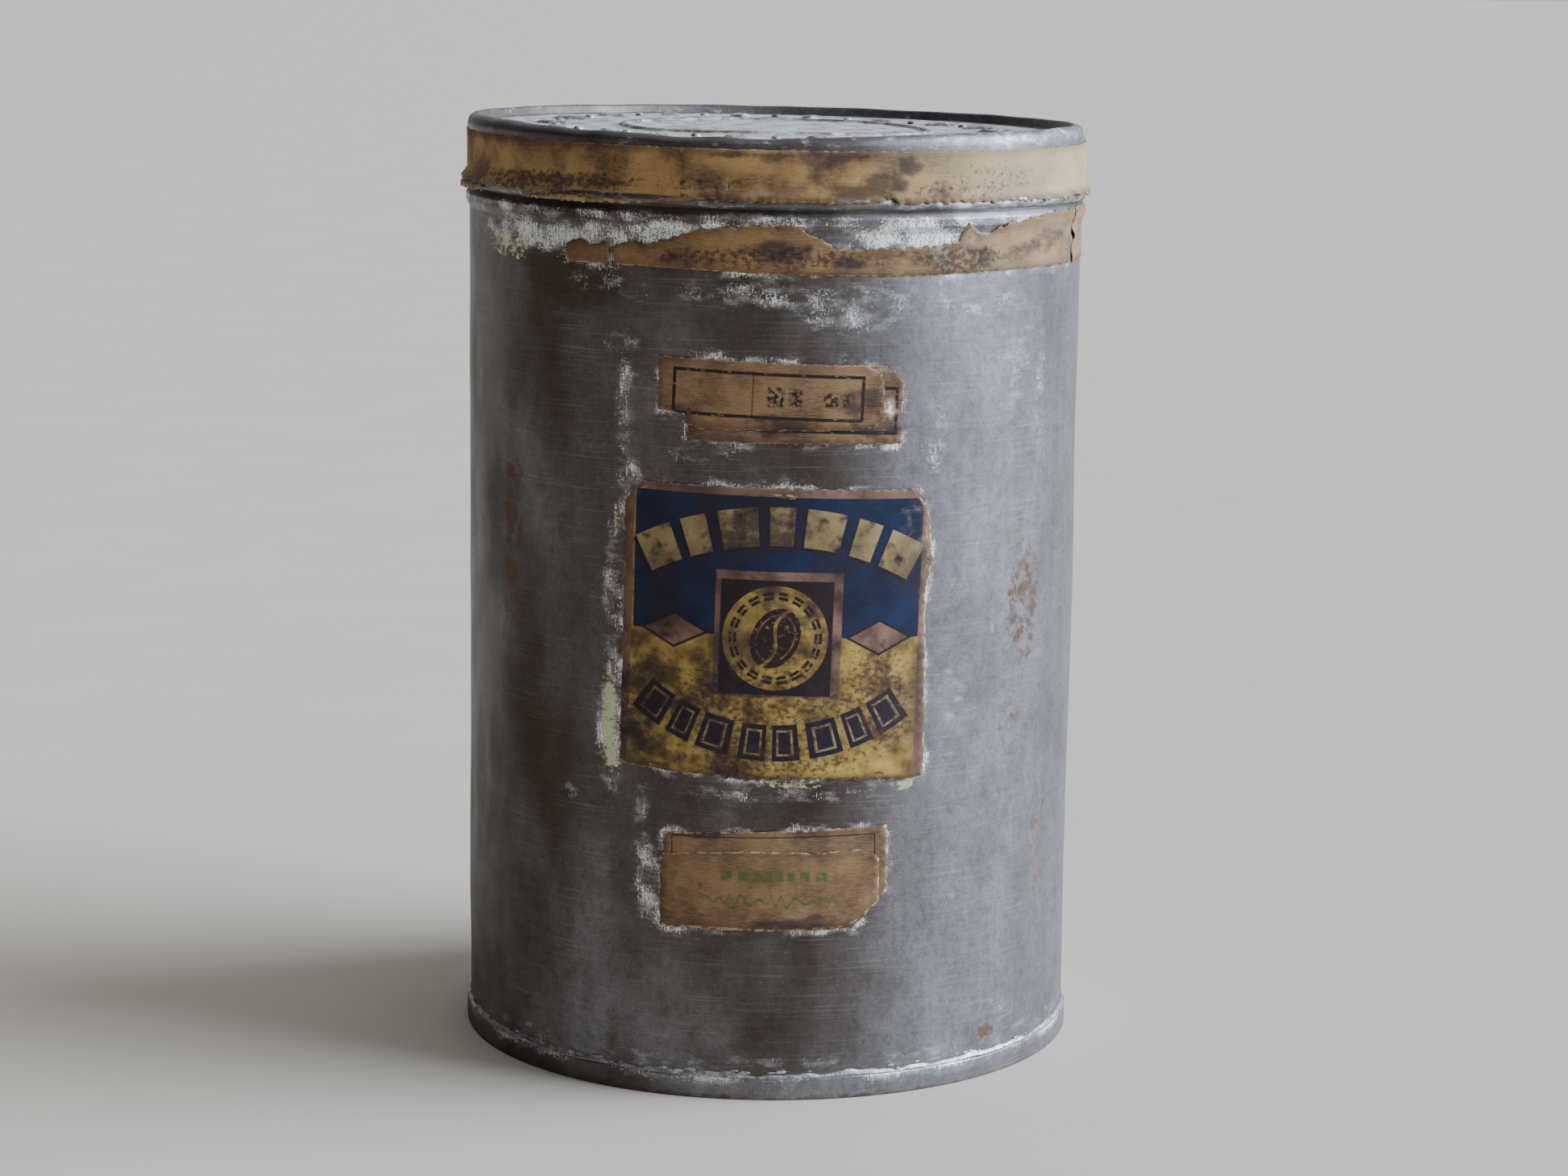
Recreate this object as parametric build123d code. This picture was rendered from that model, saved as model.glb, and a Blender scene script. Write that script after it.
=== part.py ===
from build123d import *
import os
from math import degrees, sin

# A round slip-lid tin: a seamed tinplate body, a pressed lid that lifts off, and the paper stuck on both.
# Millimetres and degrees. The origin is the centre of the base, +Z is up, and the labels face -Y.
# Angles run round the tin from the front (-Y) towards +X.

# Tinplate
sheet = 0.35  # thickness of every tinplate sheet
seam_gap = 0.05  # compound between the folded layers of a seam

# Body
body_radius = 98.0  # outside of the plain wall
body_height = 292.0  # floor to the hemmed top edge
hem_depth = 6.0  # length of wall folded down inside the top edge
neck_depth = 19.0  # top edge down to the top of the neck bead
bead_height = 6.5  # neck bead, along the wall
bead_rise = 1.1  # neck bead, out from the wall
side_seam_width = 7.0  # lock seam, round the tin
side_seam_layers = 3  # extra layers of sheet inside the wall at the lock seam

# Base seam and bottom end
seam_height = 6.9  # floor to the top of the base seam
hook_play = 0.65  # room beyond the end of each folded hook
floor_corner = 0.15  # inside radius where the bottom end turns on the floor
panel_drop = 0.3  # base seam's top down to the edge of the bottom panel
step_inset = 11.5  # bottom panel's raised step, in from the wall
step_rise = 1.2
step_run = 1.5

# Lid
lid_clearance = 0.25  # between skirt and wall, all round
curl_gap = 0.5  # neck bead's top up to the lid's rolled edge
crown_gap = 0.45  # body's top edge up to the underside of the lid's panel
curl_height = 3.6
curl_rise = 1.9  # rolled edge, out from the skirt
rim_rise = 2.7  # rim's crest above the panel
rim_width = 3.7  # skirt to the inner edge of the crest
rim_slope = 1.1
rim_radius = 3.1
ring_radius = 49.0  # raised ring in the middle of the panel
ring_width = 3.0
ring_rise = 0.8

# Paper and solder
paste = 0.03  # glue between paper and metal
paper = 0.15  # thickness of every paper layer
tape_width = 36.8  # height that the gummed strip covered, before it was torn along the lid's edge
tape_left_on_lid = 14.0
lid_tape_over = (-16.5, 158.0)  # angles of the two lengths on the skirt
lid_tape_under = (-210.0, -8.0)
neck_tape_height = 10.8  # what is left on the wall, under the bead
neck_tape_angles = {"neck_strip": (-29.5, 70.4), "neck_strip_end": (71.2, 128.0)}
neck_tape_angles["neck_strip_scrap"] = (-40.3, -30.2)
solder_thickness = 0.15
side_solder_width = 5.0
base_solder_rise = 1.2
base_solder_run = 0.9

# Labels: each stack is centred at a distance round the wall, and stands on the one below
stack_rise = 0.65  # share of the wall's free height that lies under the lowest label
stack_gap_low = 13.9  # lower label to main label
stack_gap_high = 11.5  # main label to upper label
weight_label = {"middle": 2.5, "width": 70.4, "height": 32.0}
main_label = {"middle": 2.0, "width": 97.8, "height": 92.2}
batch_label = {"middle": 2.6, "width": 75.8, "height": 26.2}
corner_cut = 4.5  # clipped or torn corner of a label

# Derived sizes
half = sheet / 2
hook_inner = body_radius + sheet + 2 * seam_gap
seam_inner = hook_inner + sheet + seam_gap
seam_radius = seam_inner + sheet
wall_inner = body_radius - sheet
hook_floor = 2 * sheet + seam_gap
hook_top = seam_height - sheet - hook_play
bead_top = body_height - neck_depth
bead_bottom = bead_top - bead_height
skirt_radius = body_radius + lid_clearance + sheet
curl_bottom = bead_top + curl_gap
curl_top = curl_bottom + curl_height
panel_top = body_height + crown_gap + sheet
crest_top = panel_top + rim_rise
tape_on_lid_top = curl_top + tape_left_on_lid
neck_tape_low = tape_on_lid_top - tape_width
stack_height = (
    weight_label["height"]
    + stack_gap_low
    + main_label["height"]
    + stack_gap_high
    + batch_label["height"]
)
weight_low = seam_height + stack_rise * (neck_tape_low - seam_height - stack_height)
main_low = weight_low + weight_label["height"] + stack_gap_low
batch_low = main_low + main_label["height"] + stack_gap_high


def pressed(points, radii):
    """A turned sheet: the points run along the middle of its thickness, in a section from the axis."""
    with BuildLine(Plane.XZ) as middle_line:
        FilletPolyline(*points, radius=radii)
    edge = middle_line.wire().offset_2d(half, kind=Kind.ARC, side=Side.BOTH)
    section = make_face(edge) & (Plane.XZ * Pos(body_radius, 0) * Rectangle(2 * body_radius, crest_top * 3))
    return revolve(section, Axis.Z, 360)


def band(inner, thickness, low, high, start, end):
    """A piece of a cylinder between two heights and two angles."""
    section = Plane.XZ * Pos(inner + thickness / 2, (low + high) / 2) * Rectangle(
        thickness, high - low
    )
    return Rot(0, 0, start - 90) * revolve(section, Axis.Z, end - start)


def body_wall():
    hook = hook_inner + half
    hook_low = hook_floor - half
    wall = body_radius - half
    hem = wall - sheet - seam_gap
    top = body_height - half
    slope = bead_height / 3
    points = [
        (hook, hook_top),
        (hook, hook_low),
        (wall, hook_low),
        (wall, bead_bottom),
        (wall + bead_rise, bead_bottom + slope),
        (wall + bead_rise, bead_top - slope),
        (wall, bead_top),
        (wall, top),
        (hem, top),
        (hem, body_height - hem_depth),
    ]
    hook_turn = (hook - wall) * 0.45
    hem_turn = (wall - hem) * 0.48
    soft = bead_height / 6
    turned = pressed(points, [hook_turn, hook_turn, soft, soft, soft, soft, hem_turn, hem_turn])
    half_seam = degrees(side_seam_width / body_radius) / 2
    ridge = band(
        wall_inner - side_seam_layers * sheet,
        side_seam_layers * sheet + half,
        seam_height + step_rise,
        body_height - hem_depth - sheet,
        180 - half_seam,
        180 + half_seam,
    )
    return turned + ridge


def bottom_end():
    end_hook = body_radius + seam_gap + half
    seam_wall = seam_radius - half
    chuck = wall_inner - seam_gap - half
    panel = seam_height - panel_drop - half
    step = body_radius - step_inset
    points = [
        (end_hook, hook_floor + hook_play),
        (end_hook, seam_height - half),
        (seam_wall, seam_height - half),
        (seam_wall, half),
        (chuck, half),
        (chuck, panel),
        (step, panel),
        (step - step_run, panel + step_rise),
        (0, panel + step_rise),
    ]
    turn = (seam_wall - end_hook) * 0.45
    floor_turn = floor_corner + half
    bend = 2 * sheet
    return pressed(points, [turn, turn, floor_turn, floor_turn, bend, bend, bend])


def lid_shell():
    curl = skirt_radius + curl_rise - half
    skirt = skirt_radius - half
    crest = crest_top - half
    panel = panel_top - half
    rim_inner = skirt_radius - rim_width
    ring_out = ring_radius + ring_width / 2
    ring_in = ring_radius - ring_width / 2
    points = [
        (skirt + seam_gap, curl_bottom + half),
        (curl, curl_bottom + half),
        (curl, curl_top - half),
        (skirt, curl_top - half),
        (skirt, crest),
        (rim_inner, crest),
        (rim_inner - rim_slope, panel),
        (ring_out, panel),
        (ring_out - ring_rise, panel + ring_rise),
        (ring_in + ring_rise, panel + ring_rise),
        (ring_in, panel),
        (0, panel),
    ]
    curl_turn = curl_height * 0.42
    rim_turn = rim_radius - half
    small = ring_rise * 0.45
    turns = [curl_turn, curl_turn, sheet, rim_turn, 2 * sheet, 2 * sheet]
    return pressed(points, turns + [small, small, small, small])


def bottom_seam_solder():
    inner = body_radius + paste
    low = seam_height + paste
    corners = [(inner, low), (inner + base_solder_run, low), (inner, low + base_solder_rise)]
    return revolve(make_face(Plane.XZ * Polyline(*corners, close=True)), Axis.Z, 360)


def side_seam_solder():
    half_line = degrees(side_solder_width / body_radius) / 2
    low = seam_height + 2 * base_solder_rise
    high = bead_bottom - base_solder_rise
    inner = body_radius + paste
    return band(inner, solder_thickness, low, high, 180 - half_line, 180 + half_line)


def lid_strip(angles, layer):
    inner = skirt_radius + paste + layer * (paper + paste)
    low = curl_top + half
    return band(inner, paper, low, tape_on_lid_top, *angles)


def neck_strip(angles):
    inner = body_radius + paste
    return band(inner, paper, neck_tape_low, neck_tape_low + neck_tape_height, *angles)


def label(outline, middle, low, layer):
    """A pasted paper: the outline's points are distances round the wall and heights above low."""
    inner = body_radius + paste + layer * (paper + paste)
    outer = inner + paper
    flat = [(outer * sin((middle + s) / outer), low + z) for s, z in outline]
    block = extrude(make_face(Plane.XZ * Polyline(*flat, close=True)), amount=outer)
    height = max(z for s, z in outline)
    shell = Cylinder(outer, height) - Cylinder(inner, height)
    return block & (Pos(0, 0, low + height / 2) * shell)


def cut_corners(left, right, bottom, top, cuts):
    """A four-sided outline with some corners cut off: cuts has lower left, lower right, and so on."""
    corners = [(left, bottom), (right, bottom), (right, top), (left, top)]
    inward = [(1, 1), (-1, 1), (-1, -1), (1, -1)]
    points = []
    for index, ((s, z), (ds, dz), cut) in enumerate(zip(corners, inward, cuts)):
        if cut == 0:
            points.append((s, z))
            continue
        along = [(s + ds * cut, z), (s, z + dz * cut)]
        points += along if index % 2 else along[::-1]
    return points


def label_pair(sizes, low, under, over):
    """The old label and the newer one on top: each has its insets from the pair's edges and its cuts."""
    half = sizes["width"] / 2
    papers = []
    for layer, (left, right, bottom, top, cuts) in enumerate((under, over)):
        outline = cut_corners(-half + left, half - right, bottom, sizes["height"] - top, cuts)
        papers.append(label(outline, sizes["middle"], low, layer))
    return papers


def build():
    nodes = {
        "body_wall": body_wall(),
        "bottom_end": bottom_end(),
        "bottom_seam_solder": bottom_seam_solder(),
        "side_seam_solder": side_seam_solder(),
        "lid_shell": lid_shell(),
        "lid_strip_under": lid_strip(lid_tape_under, 0),
        "lid_strip_over": lid_strip(lid_tape_over, 1),
    }
    for name, angles in neck_tape_angles.items():
        nodes[name] = neck_strip(angles)
    clipped = (0, corner_cut, 0, 0)
    top_left = (0, 0, 0, corner_cut)
    pairs = {
        "weight_label": (
            label_pair(
                weight_label, weight_low, (0.5, 0, 0, 0, clipped), (0, 2.6, 0.3, 7.2, clipped)
            )
        ),
        "main_label": (
            label_pair(
                main_label, main_low, (1.5, 0, 0, 3.0, top_left), (0, 3.8, 1.9, 0, top_left)
            )
        ),
        "batch_label": (
            label_pair(
                batch_label, batch_low, (9.6, 0, 0, 2.2, top_left), (0, 6.2, 4.7, 0, clipped)
            )
        ),
    }
    for name, (under, over) in pairs.items():
        nodes[name + "_under"] = under
        nodes[name + "_over"] = over
    return nodes


os.makedirs("parts", exist_ok=True)
for name, shape in build().items():
    export_step(shape, f"parts/{name}.step")
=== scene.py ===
import math
import random

import bpy
import numpy as np
from mathutils import Matrix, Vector
from mathutils.geometry import delaunay_2d_cdt


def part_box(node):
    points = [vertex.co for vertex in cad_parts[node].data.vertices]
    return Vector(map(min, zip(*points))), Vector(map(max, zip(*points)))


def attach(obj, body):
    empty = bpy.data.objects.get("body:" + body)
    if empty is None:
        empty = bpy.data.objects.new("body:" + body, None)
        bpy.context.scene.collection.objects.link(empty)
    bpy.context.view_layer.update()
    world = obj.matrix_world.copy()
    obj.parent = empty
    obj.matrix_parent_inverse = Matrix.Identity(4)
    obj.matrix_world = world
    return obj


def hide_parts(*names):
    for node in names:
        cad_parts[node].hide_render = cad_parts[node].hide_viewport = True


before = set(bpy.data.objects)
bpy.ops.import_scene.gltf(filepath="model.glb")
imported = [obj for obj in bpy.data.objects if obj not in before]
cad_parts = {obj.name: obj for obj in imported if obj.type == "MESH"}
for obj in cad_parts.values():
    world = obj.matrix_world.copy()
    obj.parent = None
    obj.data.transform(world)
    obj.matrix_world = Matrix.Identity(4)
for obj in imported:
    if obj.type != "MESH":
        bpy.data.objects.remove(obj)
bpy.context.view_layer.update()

bl_info = {
    "name": "Slip-lid coffee tin",
    "version": (1, 0, 0),
    "blender": (4, 5, 0),
    "location": "3D View > Sidebar > Coffee tin",
    "description": "Builds the worn tinplate, solder and pasted papers of an old slip-lid coffee tin",
    "category": "Object",
}

# Lengths inside the functions are millimetres. "Round" is a distance round the wall from the front,
# positive to the right, and "turn" is the same as an angle. Properties are in metres, as Blender has them.
MM = 1000.0
WALL = 98.0  # outside radius of the plain wall
BACK = math.pi * WALL  # round to the back, opposite the labels
SEAM_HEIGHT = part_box("bottom_seam_solder")[0].z * MM - 0.03  # the solder stands a little above the seam
LEANS = (110, 250)  # heights between which the lean sets in
DENTED = ((10, 50), (232, 262))  # heights between which the wall's dents come and go
SEAM_WAVE = ((2, 6), (10, 20))  # the same for the base seam's unevenness


def linear(hex_colour):
    """An sRGB hex colour as linear RGBA."""
    parts = [int(hex_colour[i:i + 2], 16) / 255 for i in (1, 3, 5)]
    return tuple(c / 12.92 if c <= 0.04045 else ((c + 0.055) / 1.055) ** 2.4 for c in parts) + (1.0,)


def length(name, description, millimetres):
    """A length property, given in millimetres."""
    return bpy.props.FloatProperty(
        name=name, description=description, default=millimetres / MM, min=0, precision=5, unit="LENGTH"
    )


def colour(name, description, hex_colour):
    """A colour property, given as sRGB hex."""
    return bpy.props.FloatVectorProperty(
        name=name, description=description, default=linear(hex_colour), size=4, min=0, max=1,
        subtype="COLOR",
    )


class TinplateSizes(bpy.types.PropertyGroup):
    """Sizes of the pressed and seamed tinplate"""

    sheet: length("Sheet", "Thickness of the tinplate", 0.35)
    seam_gap: length("Seam gap", "Compound between the folded layers of a seam", 0.05)
    hook_play: length("Hook play", "Room beyond the end of each folded hook", 0.65)
    hem_depth: length("Hem", "Length of wall folded down inside the top edge", 6.0)
    neck_depth: length("Neck", "Top edge of the body down to the neck bead", 19.0)
    bead_height: length("Bead height", "Neck bead, along the wall", 6.5)
    bead_rise: length("Bead rise", "Neck bead, out from the wall", 1.1)
    step_inset: length("Step inset", "Bottom panel's raised step, in from the wall", 11.5)
    step_rise: length("Step rise", "Bottom panel's raised step", 1.2)
    curl_height: length("Curl height", "Rolled edge of the lid", 3.6)
    curl_rise: length("Curl rise", "Rolled edge of the lid, out from the skirt", 1.9)
    rim_rise: length("Rim rise", "Crest of the lid above its panel", 2.7)
    rim_width: length("Rim width", "Skirt to the inner edge of the lid's crest", 3.7)
    ring_radius: length("Ring radius", "Raised ring in the middle of the lid", 49.0)
    ring_width: length("Ring width", "Width of the raised ring", 3.0)
    ring_rise: length("Ring rise", "Height of the raised ring", 0.8)
    ornaments: bpy.props.IntProperty(
        name="Ornaments", description="Lozenges pressed round the lid", default=18, min=3, max=60
    )
    solder_drops: bpy.props.IntProperty(
        name="Solder drops", description="Drops left along the base seam", default=120, min=0, max=400
    )


class WearSettings(bpy.types.PropertyGroup):
    """How far use has bent and torn the tin"""

    lean: bpy.props.FloatProperty(
        name="Lean", description="Slope of the lid and neck, lower on the right",
        default=0.011, min=0, max=0.05,
    )
    dents: length("Dents", "Depth of the shallow dents in the wall", 0.3)
    out_of_round: length("Out of round", "How far the tin is from a true circle", 0.25)
    edge_lift: length("Edge lift", "How far torn paper edges stand off the metal", 0.35)


class PaperSizes(bpy.types.PropertyGroup):
    """Sizes of the pasted papers and the solder line"""

    paper: length("Paper", "Thickness of every paper", 0.15)
    paste: length("Paste", "Glue between paper and metal", 0.03)
    solder: length("Solder", "Thickness of the solder line at the back", 0.15)


class FinishColours(bpy.types.PropertyGroup):
    """Colours of the finishes"""

    tin: colour("Tinplate", "Dulled tin", "#9a9ba0")
    patina: colour("Patina", "Grey-brown film on old tin", "#53463b")
    # Grime is also the colour of the painted shade on the tin's left side.
    grime_and_shade: colour("Grime", "Dark handled patches", "#392c22")
    # Bare tin is also laid on as the painted highlight under the lid's rolled edge and on the lid's right side.
    bare: colour("Bare tin", "Tin kept bright under paper and glue", "#e9e8e4")
    rust: colour("Rust", "Brown rust", "#5f4837")
    glue: colour("Old glue", "Yellow-green glue residue", "#c3cc9c")
    solder: colour("Solder", "Grey lead-tin solder", "#9c9c9c")
    kraft: colour("Kraft", "Gummed brown paper", "#ae8850")
    kraft_pale: colour("Pale kraft", "Faded gummed paper", "#c2b091")
    kraft_dark: colour("Dark kraft", "Soaked gummed paper", "#5f4128")
    stain: colour("Stain", "Violet-brown damp stain", "#2b2127")
    label: colour("Label paper", "Aged label paper", "#8d6b48")
    label_dark: colour("Old label paper", "Older paper below", "#59402f")
    core: colour("Torn core", "Pale core where paper is torn", "#cdbf9f")
    ink: colour("Ink", "Black printing ink", "#221c1d")
    navy: colour("Navy", "Blue field of the main label", "#1a2a49")
    yellow: colour("Yellow", "Yellow field of the main label", "#be9d50")
    cream: colour("Cream", "Pale shapes on the main label", "#a28a5d")
    pink: colour("Frame paper", "Mauve-brown border of the main label", "#8b6a59")
    green: colour("Green ink", "Faded green print", "#56602f")


class StageSettings(bpy.types.PropertyGroup):
    """Floor and light"""

    floor: colour("Floor", "Matte pale floor", "#cdc3b4")
    window: bpy.props.FloatProperty(
        name="Window", description="Strength of the soft light from the right", default=9.0, min=0
    )
    room: bpy.props.FloatProperty(
        name="Room", description="Strength of the light all round", default=0.86, min=0
    )


# Shapes shared by the pieces


def ease(value, low, high):
    """0 below low, 1 above high, and smooth between."""
    t = np.clip((np.asarray(value, float) - low) / (high - low), 0, 1)
    return t * t * (3 - 2 * t)


def between(value, comes, goes):
    """1 between two spans, 0 outside them, and smooth within each."""
    return ease(value, *comes) * (1 - ease(value, *goes))


def ripples(turn, height, waves, seed):
    """A smooth unevenness round the tin: each wave has a count, a length up the wall and a size."""
    draw = random.Random(seed)
    total = np.zeros(np.broadcast(turn, height).shape)
    for count, up, size in waves:
        tilt = 2 * math.pi * draw.choice((-1, 1)) / up
        total = total + size * np.cos(count * turn + tilt * height + draw.uniform(0, 2 * math.pi))
    return total


def around(turn, waves, seed):
    """Ripples that are the same at every height: each wave has a count and a size."""
    return ripples(turn, 0 * turn, [(count, 1, size) for count, size in waves], seed)


def settled(points):
    """Points as the used tin has them: leaning at the neck, a little out of round, and dented below it.
    Nothing above the neck changes with height, so the lid still lifts straight off."""
    wear = bpy.context.scene.tin_wear
    x, y, z = np.asarray(points, float).T
    turn = np.arctan2(x, -y)
    reach = np.hypot(x, y)
    oval = wear.out_of_round * MM
    dents = ((3, 190, 0.5), (5, 130, 0.45), (8, 80, 0.3), (13, 64, 0.16), (21, 37, 0.07))
    out = around(turn, ((2, 0.6 * oval), (3, 0.4 * oval)), 1)
    out = out + wear.dents * MM * ripples(turn, z, dents, 2) * between(z, *DENTED)
    lift = around(turn, ((7, 0.1), (17, 0.07), (31, 0.05)), 3) * between(z, *SEAM_WAVE)
    scale = 1 + out * np.minimum(reach / WALL, 1) / np.maximum(reach, 1)
    return np.stack([x * scale, y * scale, z + lift - wear.lean * x * ease(z, *LEANS)], 1)


def fallen(round_, height):
    """How far the lean has lowered a point of the wall."""
    return bpy.context.scene.tin_wear.lean * WALL * np.sin(round_ / WALL) * ease(height, *LEANS)


def rounded(points, radii, steps=5):
    """A run of straight lines with each inner corner turned to its radius."""
    line = [np.array(points[0], float)]
    corners = [np.array(p, float) for p in points]
    for before, corner, after, radius in zip(corners, corners[1:], corners[2:], radii):
        to_before = (before - corner) / np.linalg.norm(before - corner)
        to_after = (after - corner) / np.linalg.norm(after - corner)
        angle = math.acos(float(np.clip(to_before @ to_after, -1, 1)))
        middle = (to_before + to_after) / np.linalg.norm(to_before + to_after)
        centre = corner + middle * radius / math.sin(angle / 2)
        start = corner + to_before * radius / math.tan(angle / 2) - centre
        end = corner + to_after * radius / math.tan(angle / 2) - centre
        first = math.atan2(start[1], start[0])
        swing = (math.atan2(end[1], end[0]) - first + math.pi) % (2 * math.pi) - math.pi
        for k in range(steps + 1):
            a = first + swing * k / steps
            line.append(centre + radius * np.array([math.cos(a), math.sin(a)]))
    line.append(corners[-1])
    return np.array(line)


def divided(line, step):
    """The line with long straight runs cut into lengths of about step."""
    points = [line[0]]
    for a, b in zip(line, line[1:]):
        count = max(1, round(float(np.linalg.norm(b - a)) / step))
        points += [a + (b - a) * k / count for k in range(1, count + 1)]
    return np.array(points)


def moved_aside(line, distance):
    """The line moved to its left by distance."""
    runs = np.diff(line, axis=0)
    runs /= np.linalg.norm(runs, axis=1)[:, None]
    left = np.stack([-runs[:, 1], runs[:, 0]], 1)
    at_points = np.vstack([left[:1], left[:-1] + left[1:], left[-1:]])
    at_points /= np.linalg.norm(at_points, axis=1)[:, None]
    spread = np.ones(len(line))
    spread[1:-1] = 1 / np.clip((at_points[1:-1] * left[1:]).sum(1), 0.8, 1)
    return line + at_points * (distance * spread)[:, None]


def sheet_section(line, fine, coarse, thickness):
    """The closed outline of a sheet along a line: finer on the side that shows, to the line's left.
    A thickness below zero puts that side on the right."""
    shown = moved_aside(divided(line, fine), thickness / 2)
    hidden = moved_aside(divided(line, coarse), -thickness / 2)
    return np.vstack([shown, hidden[::-1]])


def store(mesh, values):
    """Keeps three values for each point, under their names."""
    for key, data in values.items():
        attribute = mesh.attributes.new(key, "FLOAT_VECTOR", "POINT")
        attribute.data.foreach_set("vector", np.asarray(data, np.float32).ravel())


def linked(name, data):
    """A new object in the scene."""
    made = bpy.data.objects.new(name, data)
    bpy.context.scene.collection.objects.link(made)
    return made


def dress(piece, body, slot_name, node):
    """Smooths the piece, sets it on the body it rides on and hides the CAD node it stands for; slot_name is not
    used.
    """
    piece.data.shade_smooth()
    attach(piece, body)
    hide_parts(node)


def new_piece(name, points, faces, body, slot_name, node, material, **values):
    """A mesh object from points in millimetres, on its body and in place of its CAD node."""
    mesh = bpy.data.meshes.new(name)
    mesh.from_pydata((settled(points) / MM).tolist(), [], faces)
    mesh.update()
    store(mesh, values)
    mesh.materials.append(material)
    piece = linked(name, mesh)
    dress(piece, body, slot_name, node)
    return piece


def turned(section, segments):
    """Points and faces of a closed section of (radius, height) turned round the axis, poles closed."""
    angles = np.arange(segments) * 2 * math.pi / segments
    spokes = np.stack([np.sin(angles), -np.cos(angles)], 1)
    points, rings = [], []
    for radius, height in section:
        if radius < 0.01:
            rings.append([len(points)])
            points.append((0.0, 0.0, height))
        else:
            rings.append(list(range(len(points), len(points) + segments)))
            points += [(radius * x, radius * y, height) for x, y in spokes]
    faces = []
    area = sum(a[0] * b[1] - b[0] * a[1] for a, b in zip(section, np.roll(section, -1, 0)))
    for low, high in zip(rings, rings[1:] + rings[:1]):
        if len(low) == len(high) == 1:
            continue
        for k in range(segments):
            n = (k + 1) % segments
            face = [low[k % len(low)], low[n % len(low)], high[n % len(high)], high[k % len(high)]]
            face = list(dict.fromkeys(face))  # a pole's point counts once
            faces.append(face if area > 0 else face[::-1])
    return np.array(points), faces


def round_and_height(points):
    """Distance round the wall and height of each point."""
    x, y, z = np.asarray(points).T
    return WALL * np.arctan2(x, -y), z


def spot(round_, height, spots):
    """The strongest of some soft oval spots: (round, height, half width, half height, strength)."""
    total = np.zeros(len(round_))
    for s, z, half_s, half_z, strength in spots:
        far = np.hypot((round_ - s) / half_s, (height - z) / half_z)
        total = np.maximum(total, strength * (1 - ease(far, 0.35, 1.25)))
    return total


def from_outline(points, outline):
    """Distance from each point to a closed outline."""
    a = np.asarray(outline, float)
    b = np.roll(a, -1, 0)
    run = b - a
    squared = np.maximum((run ** 2).sum(1), 1e-12)
    nearest = np.full(len(points), np.inf)
    for start, step, size in zip(a, run, squared):
        along = np.clip(((points - start) @ step) / size, 0, 1)
        gap = points - start - along[:, None] * step
        nearest = np.minimum(nearest, np.hypot(gap[:, 0], gap[:, 1]))
    return nearest


def inside_outline(points, outline):
    """Which points lie inside a closed outline."""
    a = np.asarray(outline, float)
    b = np.roll(a, -1, 0)
    inside = np.zeros(len(points), bool)
    for (x0, y0), (x1, y1) in zip(a, b):
        crosses = (y0 > points[:, 1]) != (y1 > points[:, 1])
        at = x0 + (points[:, 1] - y0) * (x1 - x0) / (y1 - y0 if y1 != y0 else 1e-9)
        inside ^= crosses & (points[:, 0] < at)
    return inside


# Outlines of the papers as they are now: round, height, and how ragged the edge that starts there is.

LID_STRIP_LEFT = [
    (-359, 291.0, 0.15), (-359, 277.0, 0.5), (-300, 276.7, 0.6), (-230, 277.0, 0.6), (-180, 276.6, 0.6),
    (-146, 277.2, 0.5), (-122, 277.0, 0.5), (-100, 276.4, 0.5), (-68, 275.9, 0.55), (-52, 275.0, 0.5),
    (-39, 274.8, 0.4), (-29, 275.6, 0.3), (-20, 276.2, 0.1), (-14, 276.6, 0.1), (-13.7, 291.0, 0.15),
]
LID_STRIP_RIGHT = [
    (-28.2, 277.7, 0.05), (-27.4, 276.7, 0.1), (-25.8, 276.2, 0.3), (-12, 275.7, 0.4), (9, 275.6, 0.5),
    (20, 275.2, 0.4), (31, 275.7, 0.3), (34.5, 276.9, 0.2), (37, 275.1, 0.5), (55, 275.4, 0.5),
    (80, 275.0, 0.5), (118, 274.8, 0.6), (160, 275.4, 0.5), (205, 275.0, 0.5), (250, 275.6, 0.4),
    (270, 276.0, 0.1), (270, 291.0, 0.15), (-28.4, 291.2, 0.1),
]
CURL_SHREDS = [
    [(-150, 274.6, 0.3), (-128, 274.1, 0.4), (-108, 274.4, 0.3), (-110, 276.2, 0.2), (-133, 276.6, 0.2)],
    [(-86, 274.3, 0.4), (-57, 274.0, 0.4), (-43, 274.4, 0.3), (-47, 275.4, 0.2), (-70, 276.0, 0.2)],
    [(128, 274.2, 0.3), (150, 274.0, 0.3), (158, 275.2, 0.2), (133, 275.9, 0.2)],
    [(196, 274.3, 0.3), (229, 274.0, 0.4), (226, 275.6, 0.2), (201, 275.8, 0.2)],
]
NECK_STRIP = [
    (-50.5, 257.4, 0.3), (-49, 255.6, 0.05), (-39, 255.6, 0.05), (-12, 254.7, 0.05), (8, 254.0, 0.05),
    (39, 253.5, 0.05), (82, 254.0, 0.05), (119.5, 253.6, 0.4), (119.0, 260.0, 0.4), (120.4, 265.0, 0.3),
    (119.2, 270.4, 0.5), (100.4, 270.3, 0.5), (78.4, 268.5, 0.5), (69.7, 265.2, 0.3), (65.4, 266.2, 0.3),
    (61.5, 269.2, 0.3), (58.6, 263.2, 0.5), (51.3, 262.3, 0.6), (33.8, 262.0, 0.6), (18.8, 261.6, 0.5),
    (12.5, 265.4, 0.5), (5.5, 268.8, 0.5), (-4, 268.7, 0.5), (-14.5, 268.0, 0.5), (-24.5, 266.6, 0.5),
    (-32.8, 264.0, 0.5), (-39.8, 262.3, 0.5), (-45.4, 262.6, 0.4), (-50.7, 261.0, 0.4),
]
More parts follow.
